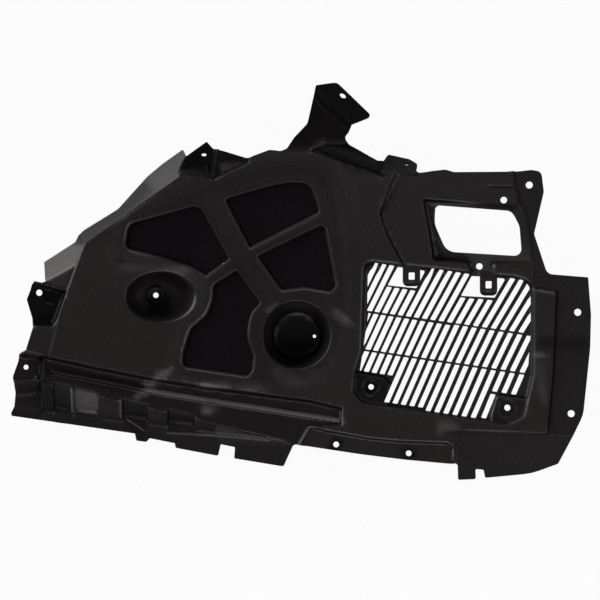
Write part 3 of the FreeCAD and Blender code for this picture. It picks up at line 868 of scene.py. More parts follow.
    def build(self, materials: list[bpy.types.Material]) -> bpy.types.Object:
        """Makes the mesh of the sheet.

        Args:
            materials: The sheet's own finish, then the finish of its inlays.

        Returns:
            The new object, in metres.
        """
        LOG.info("%s is shaped by %s", self.name, ", ".join(relief.name for relief in self.reliefs))
        if self.light_paints:
            LOG.info("%s is toned at %s", self.name, ", ".join(light_paint.name for light_paint in self.light_paints))
        flat, tris = self.triangles()
        top = np.column_stack((flat, self.heights(flat)))
        normal = self.normals(top, tris)
        bottom = top - normal * self.wall
        bottom[:, 2] = np.maximum(bottom[:, 2], 0.0)
        sides = self.open_sides(tris)
        count = len(top)
        faces = [tuple(int(i) for i in t) for t in tris]
        faces += [(int(t[0]) + count, int(t[2]) + count, int(t[1]) + count) for t in tris]
        faces += [(j, i, i + count, j + count) for i, j in sides]
        mesh = bpy.data.meshes.new(self.name)
        mesh.from_pydata((np.vstack((top, bottom)) * MM).tolist(), [], faces)
        for finish in materials:
            mesh.materials.append(finish)
        finish_index = np.zeros(len(faces), np.int32)
        finish_index[: len(tris)] = self.inlaid(flat[tris].mean(1))
        mesh.polygons.foreach_set("material_index", finish_index)
        mesh.polygons.foreach_set("use_smooth", np.ones(len(faces), bool))
        self.mark_rim(mesh, sides, count)
        # The bend marks paint shade into the creases and highlights onto the ridges, and the patch marks
        # paint shade and highlights; the material reads both
        bend = self.bend(top, normal, tris)
        bend[np.unique(np.array(sides))] = 0.0
        for label, values in (("bend", bend), ("light_paint", self.light_paint_at(flat))):
            marks = mesh.attributes.new(label, "FLOAT", "POINT")
            both = np.concatenate((values, np.zeros(count))).astype(np.float32)
            marks.data.foreach_set("value", both)
        mesh.update()
        piece = bpy.data.objects.new(self.name, mesh)
        bpy.context.scene.collection.objects.link(piece)
        return piece


def node_group(
        name: str, inputs: list[tuple[str, float]], outputs: list[str]) -> bpy.types.NodeTree:
    """New shader node group with named number sockets.

    Args:
        name: Name of the group.
        inputs: Name and starting value of each input.
        outputs: Name of each output.

    Returns:
        The group, with its input and output nodes in place.
    """
    group = bpy.data.node_groups.new(name, "ShaderNodeTree")
    for label, value in inputs:
        socket = group.interface.new_socket(name=label, in_out="INPUT", socket_type="NodeSocketFloat")
        socket.default_value = value
    for label in outputs:
        group.interface.new_socket(name=label, in_out="OUTPUT", socket_type="NodeSocketFloat")
    group.nodes.new("NodeGroupInput")
    group.nodes.new("NodeGroupOutput")
    return group


def math_node(
        tree: bpy.types.NodeTree, operation: str,
        *values: bpy.types.NodeSocket | float) -> bpy.types.NodeSocket:
    """Adds one Math node.

    Args:
        tree: The node tree that gets it.
        operation: What it does.
        *values: A socket to link, or a number to set, for each of its inputs.

    Returns:
        The node's output.
    """
    node = tree.nodes.new("ShaderNodeMath")
    node.operation = operation
    for slot, value in zip(node.inputs, values):
        if isinstance(value, bpy.types.NodeSocket):
            tree.links.new(value, slot)
        else:
            slot.default_value = value
    return node.outputs[0]


def map_range(
        tree: bpy.types.NodeTree, value: bpy.types.NodeSocket, **limits: float) -> bpy.types.NodeSocket:
    """Adds one Map Range node, which goes from 0 to 1 unless the limits say otherwise.

    Args:
        tree: The node tree that gets it.
        value: The socket that it reads.
        **limits: Numbers for from_min, from_max, to_min and to_max.

    Returns:
        The node's output.
    """
    node = tree.nodes.new("ShaderNodeMapRange")
    tree.links.new(value, node.inputs["Value"])
    for label, limit in limits.items():
        node.inputs[label.replace("_", " ").title()].default_value = limit
    return node.outputs[0]


def grain_and_painted_light_group() -> bpy.types.NodeTree:
    """Fine grain and broad unevenness of moulded plastic, with masks for painted shade in the sheet's
    creases, painted highlight on its ridges, and its patches of painted shade and highlight.

    Returns:
        The new group.
    """
    speckle_scale = 330.0
    group = node_group(
        "GrainAndPaintedLight",
        [("Grain Scale", 900.0), ("Grain Depth", 0.2), ("Cloud Scale", 9.0)],
        ["Grain", "Cloud", "Speckle", "Crease Shade", "Ridge Highlight", "Painted Shade", "Painted Highlight"])
    nodes, links = group.nodes, group.links
    source, target = nodes["Group Input"], nodes["Group Output"]
    coords = nodes.new("ShaderNodeTexCoord")
    grain, cloud, speckle = (nodes.new("ShaderNodeTexNoise") for _ in range(3))
    for texture, detail in ((grain, 3.0), (cloud, 4.0), (speckle, 1.0)):
        links.new(coords.outputs["Object"], texture.inputs["Vector"])
        texture.inputs["Detail"].default_value = detail
    links.new(source.outputs["Grain Scale"], grain.inputs["Scale"])
    links.new(source.outputs["Cloud Scale"], cloud.inputs["Scale"])
    cloud.inputs["Roughness"].default_value = 0.6
    speckle.inputs["Scale"].default_value = speckle_scale
    scaled = math_node(group, "MULTIPLY", grain.outputs["Fac"], source.outputs["Grain Depth"])
    links.new(scaled, target.inputs["Grain"])
    links.new(cloud.outputs["Fac"], target.inputs["Cloud"])
    links.new(speckle.outputs["Fac"], target.inputs["Speckle"])
    # The bend marks become painted shade in creases and painted highlight on ridges; the patch marks become
    # painted shade and painted highlight
    for name, above, below in (("bend", "Crease Shade", "Ridge Highlight"), ("light_paint", "Painted Shade", "Painted Highlight")):
        value = nodes.new("ShaderNodeAttribute")
        value.attribute_name = name
        links.new(map_range(group, value.outputs["Fac"], from_max=1.0), target.inputs[above])
        links.new(map_range(group, value.outputs["Fac"], from_max=-1.0), target.inputs[below])
    return group


def fine_weave_group() -> bpy.types.NodeTree:
    """Small square texture pressed into the fields.

    Returns:
        The new group.
    """
    group = node_group("FineWeave", [("Pitch", 0.002)], ["Height"])
    nodes, links = group.nodes, group.links
    source, target = nodes["Group Input"], nodes["Group Output"]
    coords = nodes.new("ShaderNodeTexCoord")
    split = nodes.new("ShaderNodeSeparateXYZ")
    links.new(coords.outputs["Object"], split.inputs[0])
    waves = []
    for axis in ("X", "Y"):
        ratio = math_node(group, "DIVIDE", split.outputs[axis], source.outputs["Pitch"])
        waves.append(math_node(group, "SINE", math_node(group, "MULTIPLY", ratio, math.tau)))
    links.new(math_node(group, "MULTIPLY", *waves), target.inputs["Height"])
    return group


@dataclass(frozen=True)
class MouldedPlastic:
    """Black polypropylene with a low sheen, or its matt textured form.

    Scales are per metre, and heights and the pitch of the weave are in metres.
    """

    name: str
    grain: bpy.types.NodeTree
    weave: bpy.types.NodeTree | None = None
    colour: Colour = (0.0120, 0.0098, 0.0092)
    tint: Colour = (0.0230, 0.0184, 0.0190)
    # Painted shade for the creases and painted highlight for the ridges, laid on by the bend marks
    hollow: Colour = (0.0024, 0.0020, 0.0022)
    ridge: Colour = (0.0360, 0.0325, 0.0335)
    # Painted shade and painted highlight, laid on by the patches of painted light
    painted_shade: Colour = (0.0030, 0.0024, 0.0028)
    painted_highlight: Colour = (0.1050, 0.1020, 0.0980)
    tint_from: float = 0.32
    tint_to: float = 0.68
    roughness: float = 0.40
    spread: float = 0.10
    specular: float = 0.08
    coat: float = 0.78
    coat_roughness: float = 0.36
    cloud_scale: float = 9.0
    grain_scale: float = 900.0
    grain_depth: float = 0.12
    grain_strength: float = 0.35
    grain_height: float = 0.0002
    weave_pitch: float = 0.0026
    weave_depth: float = 0.0
    weave_height: float = 0.0006

    def build(self) -> bpy.types.Material:
        """Makes the material with its nodes.

        Returns:
            The new material.
        """
        material = bpy.data.materials.new(self.name)
        material.use_nodes = True
        tree = material.node_tree
        shader = tree.nodes["Principled BSDF"]
        shader.inputs["Specular IOR Level"].default_value = self.specular
        shader.inputs["Coat Roughness"].default_value = self.coat_roughness
        grain = tree.nodes.new("ShaderNodeGroup")
        grain.node_tree = self.grain
        grain.inputs["Grain Scale"].default_value = self.grain_scale
        grain.inputs["Grain Depth"].default_value = self.grain_depth
        grain.inputs["Cloud Scale"].default_value = self.cloud_scale
        tree.links.new(self.colours(tree, grain), shader.inputs["Base Color"])
        rough = map_range(tree, grain.outputs["Cloud"], to_min=self.roughness - self.spread / 2,
                          to_max=self.roughness + self.spread / 2)
        tree.links.new(rough, shader.inputs["Roughness"])
        if self.coat > 0:
            # Where shade is painted, the coat is taken off as well, so that no sheen lightens it
            shade_paint_mask = math_node(tree, "MAXIMUM", grain.outputs["Crease Shade"], grain.outputs["Painted Shade"])
            cover = map_range(tree, shade_paint_mask, to_min=self.coat, to_max=0.0)
            tree.links.new(cover, shader.inputs["Coat Weight"])
        tree.links.new(self.relief(tree, grain), shader.inputs["Normal"])
        return material

    def colours(self, tree: bpy.types.NodeTree, grain: bpy.types.Node) -> bpy.types.NodeSocket:
        """Adds the nodes that mix the finish's colours.

        Args:
            tree: The material's nodes.
            grain: The placed grain group.

        Returns:
            The mixed colour.
        """
        blend = tree.nodes.new("ShaderNodeMix")
        tree.links.new(grain.outputs["Cloud"], blend.inputs["A"])
        tree.links.new(grain.outputs["Speckle"], blend.inputs["B"])
        even = map_range(tree, blend.outputs["Result"], from_min=self.tint_from, from_max=self.tint_to)
        mix = tree.nodes.new("ShaderNodeMix")
        mix.data_type = "RGBA"
        mix.inputs["A"].default_value = (*self.colour, 1)
        mix.inputs["B"].default_value = (*self.tint, 1)
        tree.links.new(even, mix.inputs["Factor"])
        last = mix.outputs["Result"]
        # Lays painted ridge highlight, painted shade, painted highlight and painted crease shade over the
        # plastic's own colour
        for label, colour in (("Ridge Highlight", self.ridge), ("Painted Shade", self.painted_shade), ("Painted Highlight", self.painted_highlight),
                              ("Crease Shade", self.hollow)):
            shade = tree.nodes.new("ShaderNodeMix")
            shade.data_type = "RGBA"
            shade.inputs["B"].default_value = (*colour, 1)
            tree.links.new(last, shade.inputs["A"])
            tree.links.new(grain.outputs[label], shade.inputs["Factor"])
            last = shade.outputs["Result"]
        return last

    def relief(self, tree: bpy.types.NodeTree, grain: bpy.types.Node) -> bpy.types.NodeSocket:
        """Adds the nodes that make the grain, and the weave where there is one.

        Args:
            tree: The material's nodes.
            grain: The placed grain group.

        Returns:
            The bumped normal.
        """
        bump = tree.nodes.new("ShaderNodeBump")
        bump.inputs["Strength"].default_value = self.grain_strength
        bump.inputs["Distance"].default_value = self.grain_height
        tree.links.new(grain.outputs["Grain"], bump.inputs["Height"])
        if self.weave is None:
            return bump.outputs["Normal"]
        weave = tree.nodes.new("ShaderNodeGroup")
        weave.node_tree = self.weave
        weave.inputs["Pitch"].default_value = self.weave_pitch
        pressed = tree.nodes.new("ShaderNodeBump")
        pressed.inputs["Strength"].default_value = self.weave_depth
        pressed.inputs["Distance"].default_value = self.weave_height
        tree.links.new(weave.outputs["Height"], pressed.inputs["Height"])
        tree.links.new(bump.outputs["Normal"], pressed.inputs["Normal"])
        return pressed.outputs["Normal"]


# Outlines in mm, the same as the solid's
SILHOUETTE = Outline((
    (19, 236, 2), (44, 240, 9.5), (86, 199, 3), (62, 189, 3.5), (58.5, 180, 2.5),
    (52.5, 173, 6), (58, 164, 9.5), (91.5, 144.5, 2.5), (100, 145, 2.5), (106, 153.5, 3),
    (131.5, 147.5, 3.5), (141, 141.5, 2.5), (139, 133, 2), (142.5, 130.5, 1), (173.5, 134, 5),
    (184.5, 131, 5), (259, 131.5, 3.5), (277, 133.5, 3.5), (289, 131.5, 7), (292, 107.5, 12),
    (280.5, 57, 5), (296.5, 9, 9.5), (345.5, 5, 1), (349, -40, 48), (348, -80, 72),
    (339.5, -160, 36), (310.5, -219.5, 5), (279, -231.5, 72), (223, -237, 2), (221, -227, 2),
    (211, -226, 2), (212, -238.5, 2), (190.5, -239.5, 2), (189.5, -219.5, 3.5),
    (124.5, -213.5, 72), (71.5, -207, 72), (-8, -195, 5), (-20.5, -222, 2.5), (-79.5, -212.5, 1),
    (-78.5, -199, 1.5), (-96, -195.5, 1.5), (-99, -209.5, 2), (-150, -200, 2), (-151, -194.5, 1),
    (-181.5, -188.5, 2.5), (-185.5, -193, 2.5), (-197.5, -191.5, 2.5), (-199, -183, 1),
    (-348.5, -162, 1.5), (-349, -158.5, 1), (-345, -150.5, 3.5), (-343.5, -134, 9.5),
    (-345.5, -113.5, 3.5), (-336.5, -88, 3.5), (-330, -84, 2.5), (-320, -52, 1),
    (-329, -21.5, 2.5), (-320, 1, 1), (-308.5, -3, 1), (-306.5, 0, 0.5), (-309, 23.5, 0.5),
    (-271.5, 47.5, 0.5), (-267.5, 56, 2.5), (-260.5, 62, 2.5), (-219.5, 87, 12),
    (-185, 126.5, 14.5), (-166, 142.5, 14.5), (-142, 159.5, 0.5), (-138, 150.5, 2),
    (-113, 169, 1), (-105, 160, 3.5), (-64, 147.5, 6), (-37, 157.5, 6), (-23, 156, 6),
    (-16, 159.5, 6), (-7.5, 172.5, 5), (8.5, 189.5, 9.5)))
WINDOW = Outline((
    (162, 91.5, 5.5), (253.5, 84.5, 11), (263, 66.5, 17), (266, 30, 8.5), (175.5, 35.5, 17),
    (161, 69, 24)))
FIELDS = {
    "left": Outline((
        (-211, 40.5, 8), (-205.5, 69, 13), (-121, 92, 12), (-85, 27, 2.5), (-112, 7.5, 3),
        (-136, 20, 12), (-167, 30, 24))),
    "upper": Outline((
        (-90.5, 99, 3.5), (-36.5, 114.5, 36), (-14, 119, 20), (11.5, 118.5, 17), (23.5, 83, 4.5),
        (-60.5, 40.5, 2.5))),
    "right": Outline((
        (-51.5, 30.5, 1.5), (28.5, 69, 5), (44.7, -13.4, 8), (5.5, -6.5, 24), (-22.5, -10, 3))),
    "lower": Outline((
        (-76, 13.5, 1.5), (-47.5, -26, 4), (-59, -38, 20), (-64.5, -64, 40), (-55.5, -90, 14),
        (-58, -114, 9), (-142, -101.5, 8), (-140.5, -84, 14), (-132, -57, 20),
        (-112, -40, 24), (-105.5, -22, 24), (-104.5, -4.5, 8))),
}
PLATEAU = Outline((
    (-226.5, 46, 12), (-208, 78.5, 14.5), (-125, 111, 24), (-46, 135, 36), (15, 140, 12),
    (37, 119.5, 17), (47.5, 80, 36), (57, -0.5, 24), (55, -44, 12), (45, -84.5, 24),
    (26, -112, 17), (-5, -119.5, 24), (-34, -108.5, 14.5), (-43.5, -128, 9.5),
    (-114.5, -130, 24), (-149, -119.5, 14.5), (-153, -87, 17), (-142, -58, 12), (-118, -38, 12),
    (-113, -12.5, 14.5), (-132.5, 14, 17), (-168.5, 23, 24), (-215, 22, 12)))
PLATE = Outline((
    (123, 152), (95.5, 82, 6), (103.5, 58, 7), (130.5, 6.5), (277, -9), (278.8, 17, 2),
    (275.5, 54.5, 12), (270, 88, 3.5), (262.5, 94, 2.5), (255.5, 131), (255, 152)))
FLANGE_RIGHT = Outline((
    (255, 152), (255.5, 131), (262.5, 94, 2.5), (270, 88, 3.5), (275.5, 54.5, 12),
    (278.8, 17, 2), (277, -9), (308, -14, 1), (304, -108.5, 24), (297, -183), (383.5, -190),
    (383.5, 152)))
WINDOW_RECESS = Outline((
    (146, 99.5, 3.5), (218, 95), (262, 92), (270, 88), (275.5, 54.5, 12), (278.5, 18.5, 2.5),
    (233, 18.5, 2.5), (232.5, -3), (217, -3), (203, 11.5, 3.5), (199.5, 20.5, 3.5), (159, 25, 5)))
GRILLE_POCKET = Outline((
    (76.5, 24, 9.5), (257.5, 5.5, 6), (279, -1, 16), (279.5, -111, 6), (268, -161.5, 9.5),
    (247, -171.5, 9.5), (101.5, -150, 9.5), (74, -145, 9.5), (63.5, -132.5, 7),
    (64.5, -111.5, 7), (73.5, -83.5, 12)))
BOSS_LEFT = Outline((
    (64, -109, 5), (101, -117, 3), (108, -125, 4), (103, -151, 4), (88, -156, 4),
    (56, -150, 4), (56, -130, 4)))
BOSS_RIGHT = Outline(((236, -137, 4), (284, -143, 2), (284, -180, 2), (229, -176, 2), (229, -160, 4)))
BAY_CLIP_LEFT = Outline(((117, 17.5, 2), (150.2, 12.8, 2), (139.5, -8.1, 1), (104.8, -4.6, 1)))
BAY_CLIP_RIGHT = Outline(((206, 6.8, 2), (246.6, 3.4, 2), (233.5, -19.5, 1), (193, -17.2, 1)))
GRILLE_EDGE = Outline((
    (81.4, 24.5, 12), (200, 13.2), (276.6, 0.5, 17), (276.8, -62), (276.8, -70), (79.6, -70)))
GRILLE_EDGE_LOW = Outline((
    (86, -10), (276.8, -10), (276.8, -62), (274, -100), (266, -185), (60, -185), (80, -50.5)))
SILL = Outline((
    (-380, -74), (-342.5, -82), (-309, -90.5), (-243.5, -105, 36), (-187.5, -116),
    (-120.5, -127, 72), (11.5, -144, 36), (49, -153, 1), (49, -171.5, 1), (11.5, -174, 9.5),
    (-4, -200), (-24.5, -250), (-380, -250)))
BEAD = Outline((
    (-298, -105.5, 1.5), (-228.5, -118.5, 48), (-168.5, -131, 72), (47.5, -164.5, 0.5),
    (48, -169.5, 0.5), (-168.5, -136, 72), (-228.5, -123.5, 48), (-297, -110.5, 1.5)))
STRIP_RIGHT = Outline((
    (-6, -205), (11.5, -174, 3.5), (35.5, -179.5, 24), (83.5, -188, 72), (121, -191.5, 72),
    (176, -193.5, 6), (184, -199, 5), (185, -250), (-6, -250)))
LEDGE = Outline((
    (13.7, 158.2), (23.6, 154.8), (53.6, 142.2, 36), (98, 128.2), (99, 158), (110, 170),
    (62, 179.5), (56, 168), (47.6, 164, 3), (29.6, 165.2, 3)))
TOP_HOLLOW = Outline(((-106, 120.5, 2), (-61, 141.5, 2), (-58, 156), (-110, 172)))
TAB_LEFT = Outline((
    (-350, 4), (-309, -2.5), (-280, -10.5, 1), (-291.5, -44, 1), (-297, -53.5, 1),
    (-319.5, -53), (-350, -52)))
LOW_TAB = Outline((
    (-380, -84), (-333, -87), (-309, -91.5, 1), (-311, -117.5, 1), (-321, -121), (-380, -121)))
LOW_TAB_WALL = Outline(((-380, -117), (-322, -117), (-311, -123), (-309, -172), (-380, -172)))
SHELF = Outline(((-259.5, 45), (-280, -10.5), (-309, -2.5), (-350, 4), (-350, 30), (-271.5, 80)))
LEFT_FLANGE = Outline((
    (-262, 43.5), (-145.5, 125.5), (-136, 153), (-142, 190), (-330, 190), (-330, 43.5)))
LOWER_WALL = Outline((
    (-380, -104), (-308.8, -123), (-20.8, -190.2), (-4, -200), (-24, -250), (-380, -250)))
BAYS = (
    Outline(((-297, -120), (-276, -124), (-276, -170), (-297, -170))),
    Outline(((-273.5, -126), (-242, -133), (-242, -170), (-273.5, -170))),
    Outline(((-214, -140), (-183, -147), (-183, -185), (-214, -185))),
    Outline(((-159.5, -152), (-126.5, -160), (-126.5, -190), (-159.5, -190))))
FLAP = Outline((
    (186, -178.5, 2), (209.6, -175.8, 24), (297.2, -181.8, 24), (375, -184), (375, -260),
    (184, -260)))
ARM_TAB = Outline((
    (4, 248), (20, 229.8), (58.4, 185.4), (61, 180), (113.5, 184), (53.5, 266), (4, 266)))
ARM = Outline((
    (-22, 158), (14, 158.3), (30, 166), (48, 165), (58, 164), (120, 170), (120, 280), (-20, 280),
    (-30, 175)))
TOWER = Outline((
    (99, 170), (98, 130.5, 1), (121, 129, 1), (139.5, 127, 2), (153, 131.5), (153, 170)))
BRACKET = Outline((
    (-148, 128), (-106, 122, 3), (-100, 160), (-100, 185), (-139, 185), (-139, 150)))


def crown_point(x: float, y: float, level: float = 0.0) -> Corner:
    """Point of the face at a level above the hollow."""
    return (x, y, float(CROWN.height(y, level)))


WALL_END = (-20.8, -190.2, float(CROWN.height(-190, LEVELS.sill)))
BAY_END = (-20.8, -190.2, float(CROWN.height(-190, LEVELS.bay)))
WALL_PLANE = Plane(crown_point(-308.8, -123, LEVELS.sill), WALL_END, (-308.8, -155.4, 18.4))
BAY_PLANE = Plane(crown_point(-308.8, -123, LEVELS.bay), BAY_END, (-308.8, -155.4, 11.4))
STRIP_PLANE = Plane((-349, -157, 12), (-349, -200, 12), WALL_END)
FLANGE_PLANE = Plane(crown_point(-259.5, 45), crown_point(-145.5, 125.5), (-142, 159.5, 8.2))
SHELF_PLANE = Plane((-280, -10.5, 52), (-271.8, 19.8, 51), (-305.5, 1.8, 45))
SHELF_FACE_PLANE = Plane((-305.5, 1.8, 45), (-271.8, 19.8, 51), (-309, 23.5, 15.3))
RECESS_PLANE = Plane(
    (144.8, 97.8, float(CROWN.height(97.8, LEVELS.plate)) - 5), crown_point(216.8, 95.4, LEVELS.plate),
    (160.4, 28.2, float(CROWN.height(28.2, LEVELS.plate)) - 9))
LEDGE_PLANE = Plane(
    crown_point(23.6, 154.8), crown_point(98, 128.2), crown_point(99.2, 138.6, LEVELS.ledge))
FLAP_PLANE = Plane(crown_point(183, -178), crown_point(324, -183), (200, -239.5, 4))
# The arm leaves the face at its root and falls along its length
ARM_ROOT = float(CROWN.height(158))
ARM_FALL = Plane((-22, 158, ARM_ROOT), (60, 160, ARM_ROOT), (30, 235, ARM_ROOT - 25))


def arm_point(x: float, y: float) -> Corner:
    """Point on the falling face of the arm."""
    return (x, y, float(ARM_FALL.height(np.array([(x, y)]))[0]))


ARM_PLANE = Plane(arm_point(20, 229.8), arm_point(58.4, 185.4), (58, 224, 34))
TOWER_PLANE = Plane(
    crown_point(98, 129, LEVELS.plate), crown_point(140, 128, LEVELS.plate), (106, 153.5, 9.5))
BRACKET_WALL_PLANE = Plane(crown_point(-148, 126), crown_point(-106, 122), (-127, 141, 20))
BRACKET_PLANE = Plane((-138, 142, 34), (-106, 142, 34), (-120, 165, 15))
LOW_WALL_PLANE = Plane(
    crown_point(-343, -119, LEVELS.low_tab), crown_point(-311, -119, LEVELS.low_tab), (-330, -133, 16))


# Screw places, and the mouths of the cups as centre, half length and half width
CUP_SCREW = (-174.5, -16.5)
LEFT_BOSS_SCREW = (85, -126.5)
RIGHT_BOSS_SCREW = (248.5, -151.5)
STRIP_SCREWS = ((43, -195.5), (130, -206))
OVAL_MOUTH = (-167.8, -18.6, 41, 29.5)
ROUND_MOUTH = (-4, -64.2, 39.5, 39.5)
# Outlines of the patches of painted light
BEAD_RIGHT = Outline((
    (-187, -125), (-168.5, -130), (47.5, -163.5), (48, -170.5), (-168.5, -137), (-187, -133)))
SILL_EDGE = Outline((
    (-309, -86), (-243.5, -100.5), (-187.5, -111.5), (-120.5, -122.5), (11.5, -139.5), (49, -149),
    (49, -157), (11.5, -148.5), (-120.5, -131.5), (-187.5, -120.5), (-243.5, -109.5), (-309, -95)))
SILL_FLAT = Outline((
    (-309, -95), (-243.5, -109.5), (-187.5, -120.5), (-187.5, -133), (-160, -145), (-308.8, -112)))
WALL_BAND = Outline(((-308.8, -112), (-160, -145), (-20.8, -180), (-20.8, -190.2), (-308.8, -155.4)))
WALL_RIGHT = Outline(((-98, -172), (-20.8, -188), (-4, -196), (-100, -196)))
LOW_TAB_SIDE = Outline(((-305, -88), (-315, -90), (-317, -120), (-307, -121)))
WALL_LEFT_END = Outline(((-316, -119), (-297, -124), (-297, -156), (-316, -154)))
BOSS_LEFT_TOP = Outline(((67, -111), (101, -119), (106, -126), (101, -147), (76, -143), (67, -132)))
BOSS_RIGHT_TOP = Outline((
    (237, -140), (269, -144), (265, -159), (247, -169), (231, -168), (231, -160)))
RIGHT_EDGE = Outline(((284, -66), (345, -66), (345, -84), (284, -80)))
PLATE_STEP = Outline((
    (253.5, 152), (257, 152), (257.5, 131), (265, 95), (272, 88), (277.5, 54), (280.5, 17),
    (279, -8), (276, -8), (277, 17), (274, 54), (268, 87), (261, 93), (254, 131)))
RECESS_TOP = Outline(((150, 98.5), (262, 91.5), (254, 85), (163, 91.5)))
RECESS_LEFT = Outline(((146, 99), (158, 99), (162, 70), (172, 40), (200, 34), (200, 22), (159, 25)))
LEDGE_FOOT = Outline(((8, 160), (58, 143), (98, 130), (100, 123.5), (60, 134.5), (14, 154)))
SHORT_LINE = Outline(((228, 115), (258, 114.4), (258, 112.4), (228, 113)))
FLANGE_SIDE = Outline((
    (306.5, -12), (309.5, -12), (305.5, -108.5), (298.5, -183), (295.5, -183), (302.5, -108.5)))
BAY_ONE_BACK = Outline(((-297, -128), (-276, -132), (-276, -159), (-297, -156)))
BAY_THREE_BACK = Outline(((-213, -142), (-184, -149), (-184, -178), (-213, -172)))
BAY_THREE_CORNER = Outline(((-212, -167), (-188, -181), (-188, -192), (-200, -190)))
BAY_FOUR_BACK = Outline(((-159, -156), (-128, -164), (-128, -184), (-159, -180)))
SHELF_EDGE = Outline(((-306, -1), (-270, 17.5), (-279, -14), (-309, -4)))
FLANGE_TOP = Outline(((-272, 50), (-259, 70), (-217, 95), (-190, 122), (-176, 110), (-203, 80), (-256, 44)))
POCKET_RIM = Outline(((279, -8), (306, -12.4), (306, -15), (279, -10.6)))
RIGHT_SHINE = Outline(((283, -98), (290, -98), (296, -140), (292, -150), (285, -130)))
BRACKET_FOOT = Outline(((-95, 141), (-67.5, 142), (-95, 128)))
BAY_TWO_BACK = Outline(((-271.5, -129), (-243, -135), (-243, -160), (-271.5, -157)))
BAY_TWO_SIDE = Outline(((-276.5, -129), (-271.5, -129), (-271, -158), (-276, -158)))
BAY_THREE_SIDE = Outline(((-217.8, -141), (-214.8, -141), (-214.8, -166), (-217.8, -165)))
WALL_WEDGE = Outline(((-102, -173), (-40, -189), (-100, -187)))
SILL_STREAK_WIDE = Outline(((-152, -102), (-160, -117), (-181, -121), (-174, -112)))
SILL_STREAK = Outline(((-154, -103), (-160, -112), (-174, -118), (-170, -111)))
BEAD_STREAK = Outline(((-186, -129), (-181, -137), (-198, -143), (-203, -135)))
WALL_LINE = Outline(((-211, -163), (-188, -178.3), (-187, -180.8), (-210.5, -165.8)))
WALL_FOOT = Outline((
    (-161, -180.8), (-101, -183.4), (-38, -189.2), (-38, -191.6), (-101, -186.2), (-161, -183.4)))
PLATEAU_GLINT_WIDE = Outline(((36, -28), (44, -34), (68, -54), (50, -52), (38, -42)))
PLATEAU_GLINT = Outline(((40, -31), (45, -34), (62, -49), (54, -48)))
FLAP_GLINT = Outline(((165, -166), (180, -168), (191, -176), (178, -180), (165, -183)))
ROUND_CUP_GLINT = Outline(((-43, -37), (-28, -22), (-25, -25), (-39, -39)))
# Patches of painted light are laid one over the other, in this order: mostly painted shade, then mostly
# painted highlights and reflections
SHADE_PATCHES = (
    PaintedLight("plateau", PLATEAU, 0.2, 12.0),
    PaintedLight("sill", SILL, 0.4, 3.0),
    PaintedLight("sill_flat", SILL_FLAT, 0.7, 3.0),
    PaintedLight("sill_edge", SILL_EDGE, 0.6, 3.0),
    PaintedLight("wall_band", WALL_BAND, 0.4, 3.0),
    PaintedLight("wall_right", WALL_RIGHT, 0.1, 6.0),
    PaintedLight("flap", FLAP, 0.25, 4.0),
    PaintedLight("flange_right", FLANGE_RIGHT, 0.25, 4.0),
    PaintedLight("arm", ARM, 0.85, 16.0),
    PaintedLight("arm_tab", ARM_TAB, 0.85),
    PaintedLight("top_hollow", TOP_HOLLOW, 0.85),
    PaintedLight("bracket", BRACKET, 1.0),
    PaintedLight("tower", TOWER, 1.0),
    PaintedLight("ledge", LEDGE, 1.0, 3.0),
    PaintedLight("tab_left", TAB_LEFT, 0.9, 3.0),
    PaintedLight("low_tab_wall", LOW_TAB_WALL, 0.5, 5.0),
    PaintedLight("low_tab_side", LOW_TAB_SIDE, 0.9, 3.0),
    PaintedLight("wall_left_end", WALL_LEFT_END, 0.7, 3.0),
    PaintedLight("boss_left_top", BOSS_LEFT_TOP, 0.7),
    PaintedLight("boss_right_top", BOSS_RIGHT_TOP, 0.55),
    PaintedLight("boss_left_seat", ellipse(*LEFT_BOSS_SCREW, 8, 8), 1.0, 3.0),
    PaintedLight("flap_root", ellipse(184, -182, 8, 2), 0.6, 5.0),
    # Painted shade in the screw cups, with painted light in the middle of the oval cup
    PaintedLight("oval_cup", ellipse(*OVAL_MOUTH), 0.35, 5.0),
    PaintedLight("oval_cup_floor", ellipse(-171, -18, 28, 19), -0.5, 14.0),
    PaintedLight("plateau_foot_left", ellipse(-176, 24, 46, 8), 0.75, 10.0),
    PaintedLight("plateau_foot_low", ellipse(-8, -114, 34, 6), 0.45, 10.0),
    PaintedLight("round_cup", ellipse(*ROUND_MOUTH), 0.15, 3.0),
    PaintedLight("round_cup_floor", ellipse(-4, -64.2, 27, 27), 0.45, 4.0),
    PaintedLight("right_edge", RIGHT_EDGE, 0.55, 12.0),
    PaintedLight("plate_step", PLATE_STEP, 0.7),
    PaintedLight("recess_top", RECESS_TOP, 0.7),
    PaintedLight("ledge_foot", LEDGE_FOOT, 0.9, 3.0),
    PaintedLight("short_line", SHORT_LINE, 0.8, 1.2),
    PaintedLight("flange_side", FLANGE_SIDE, 1.0, 1.5),
    PaintedLight("recess_left", RECESS_LEFT, 0.6),
    *(PaintedLight(f"strip_screw_{number}", ellipse(*place, 9, 9), 0.8, 4.0)
      for number, place in enumerate(STRIP_SCREWS, start=1)),
    PaintedLight("bay_one_back", BAY_ONE_BACK, 0.5),
    PaintedLight("bay_three_back", BAY_THREE_BACK, 0.6),
    PaintedLight("bay_three_corner", BAY_THREE_CORNER, 0.6),
    PaintedLight("bay_four_back", BAY_FOUR_BACK, 0.6))
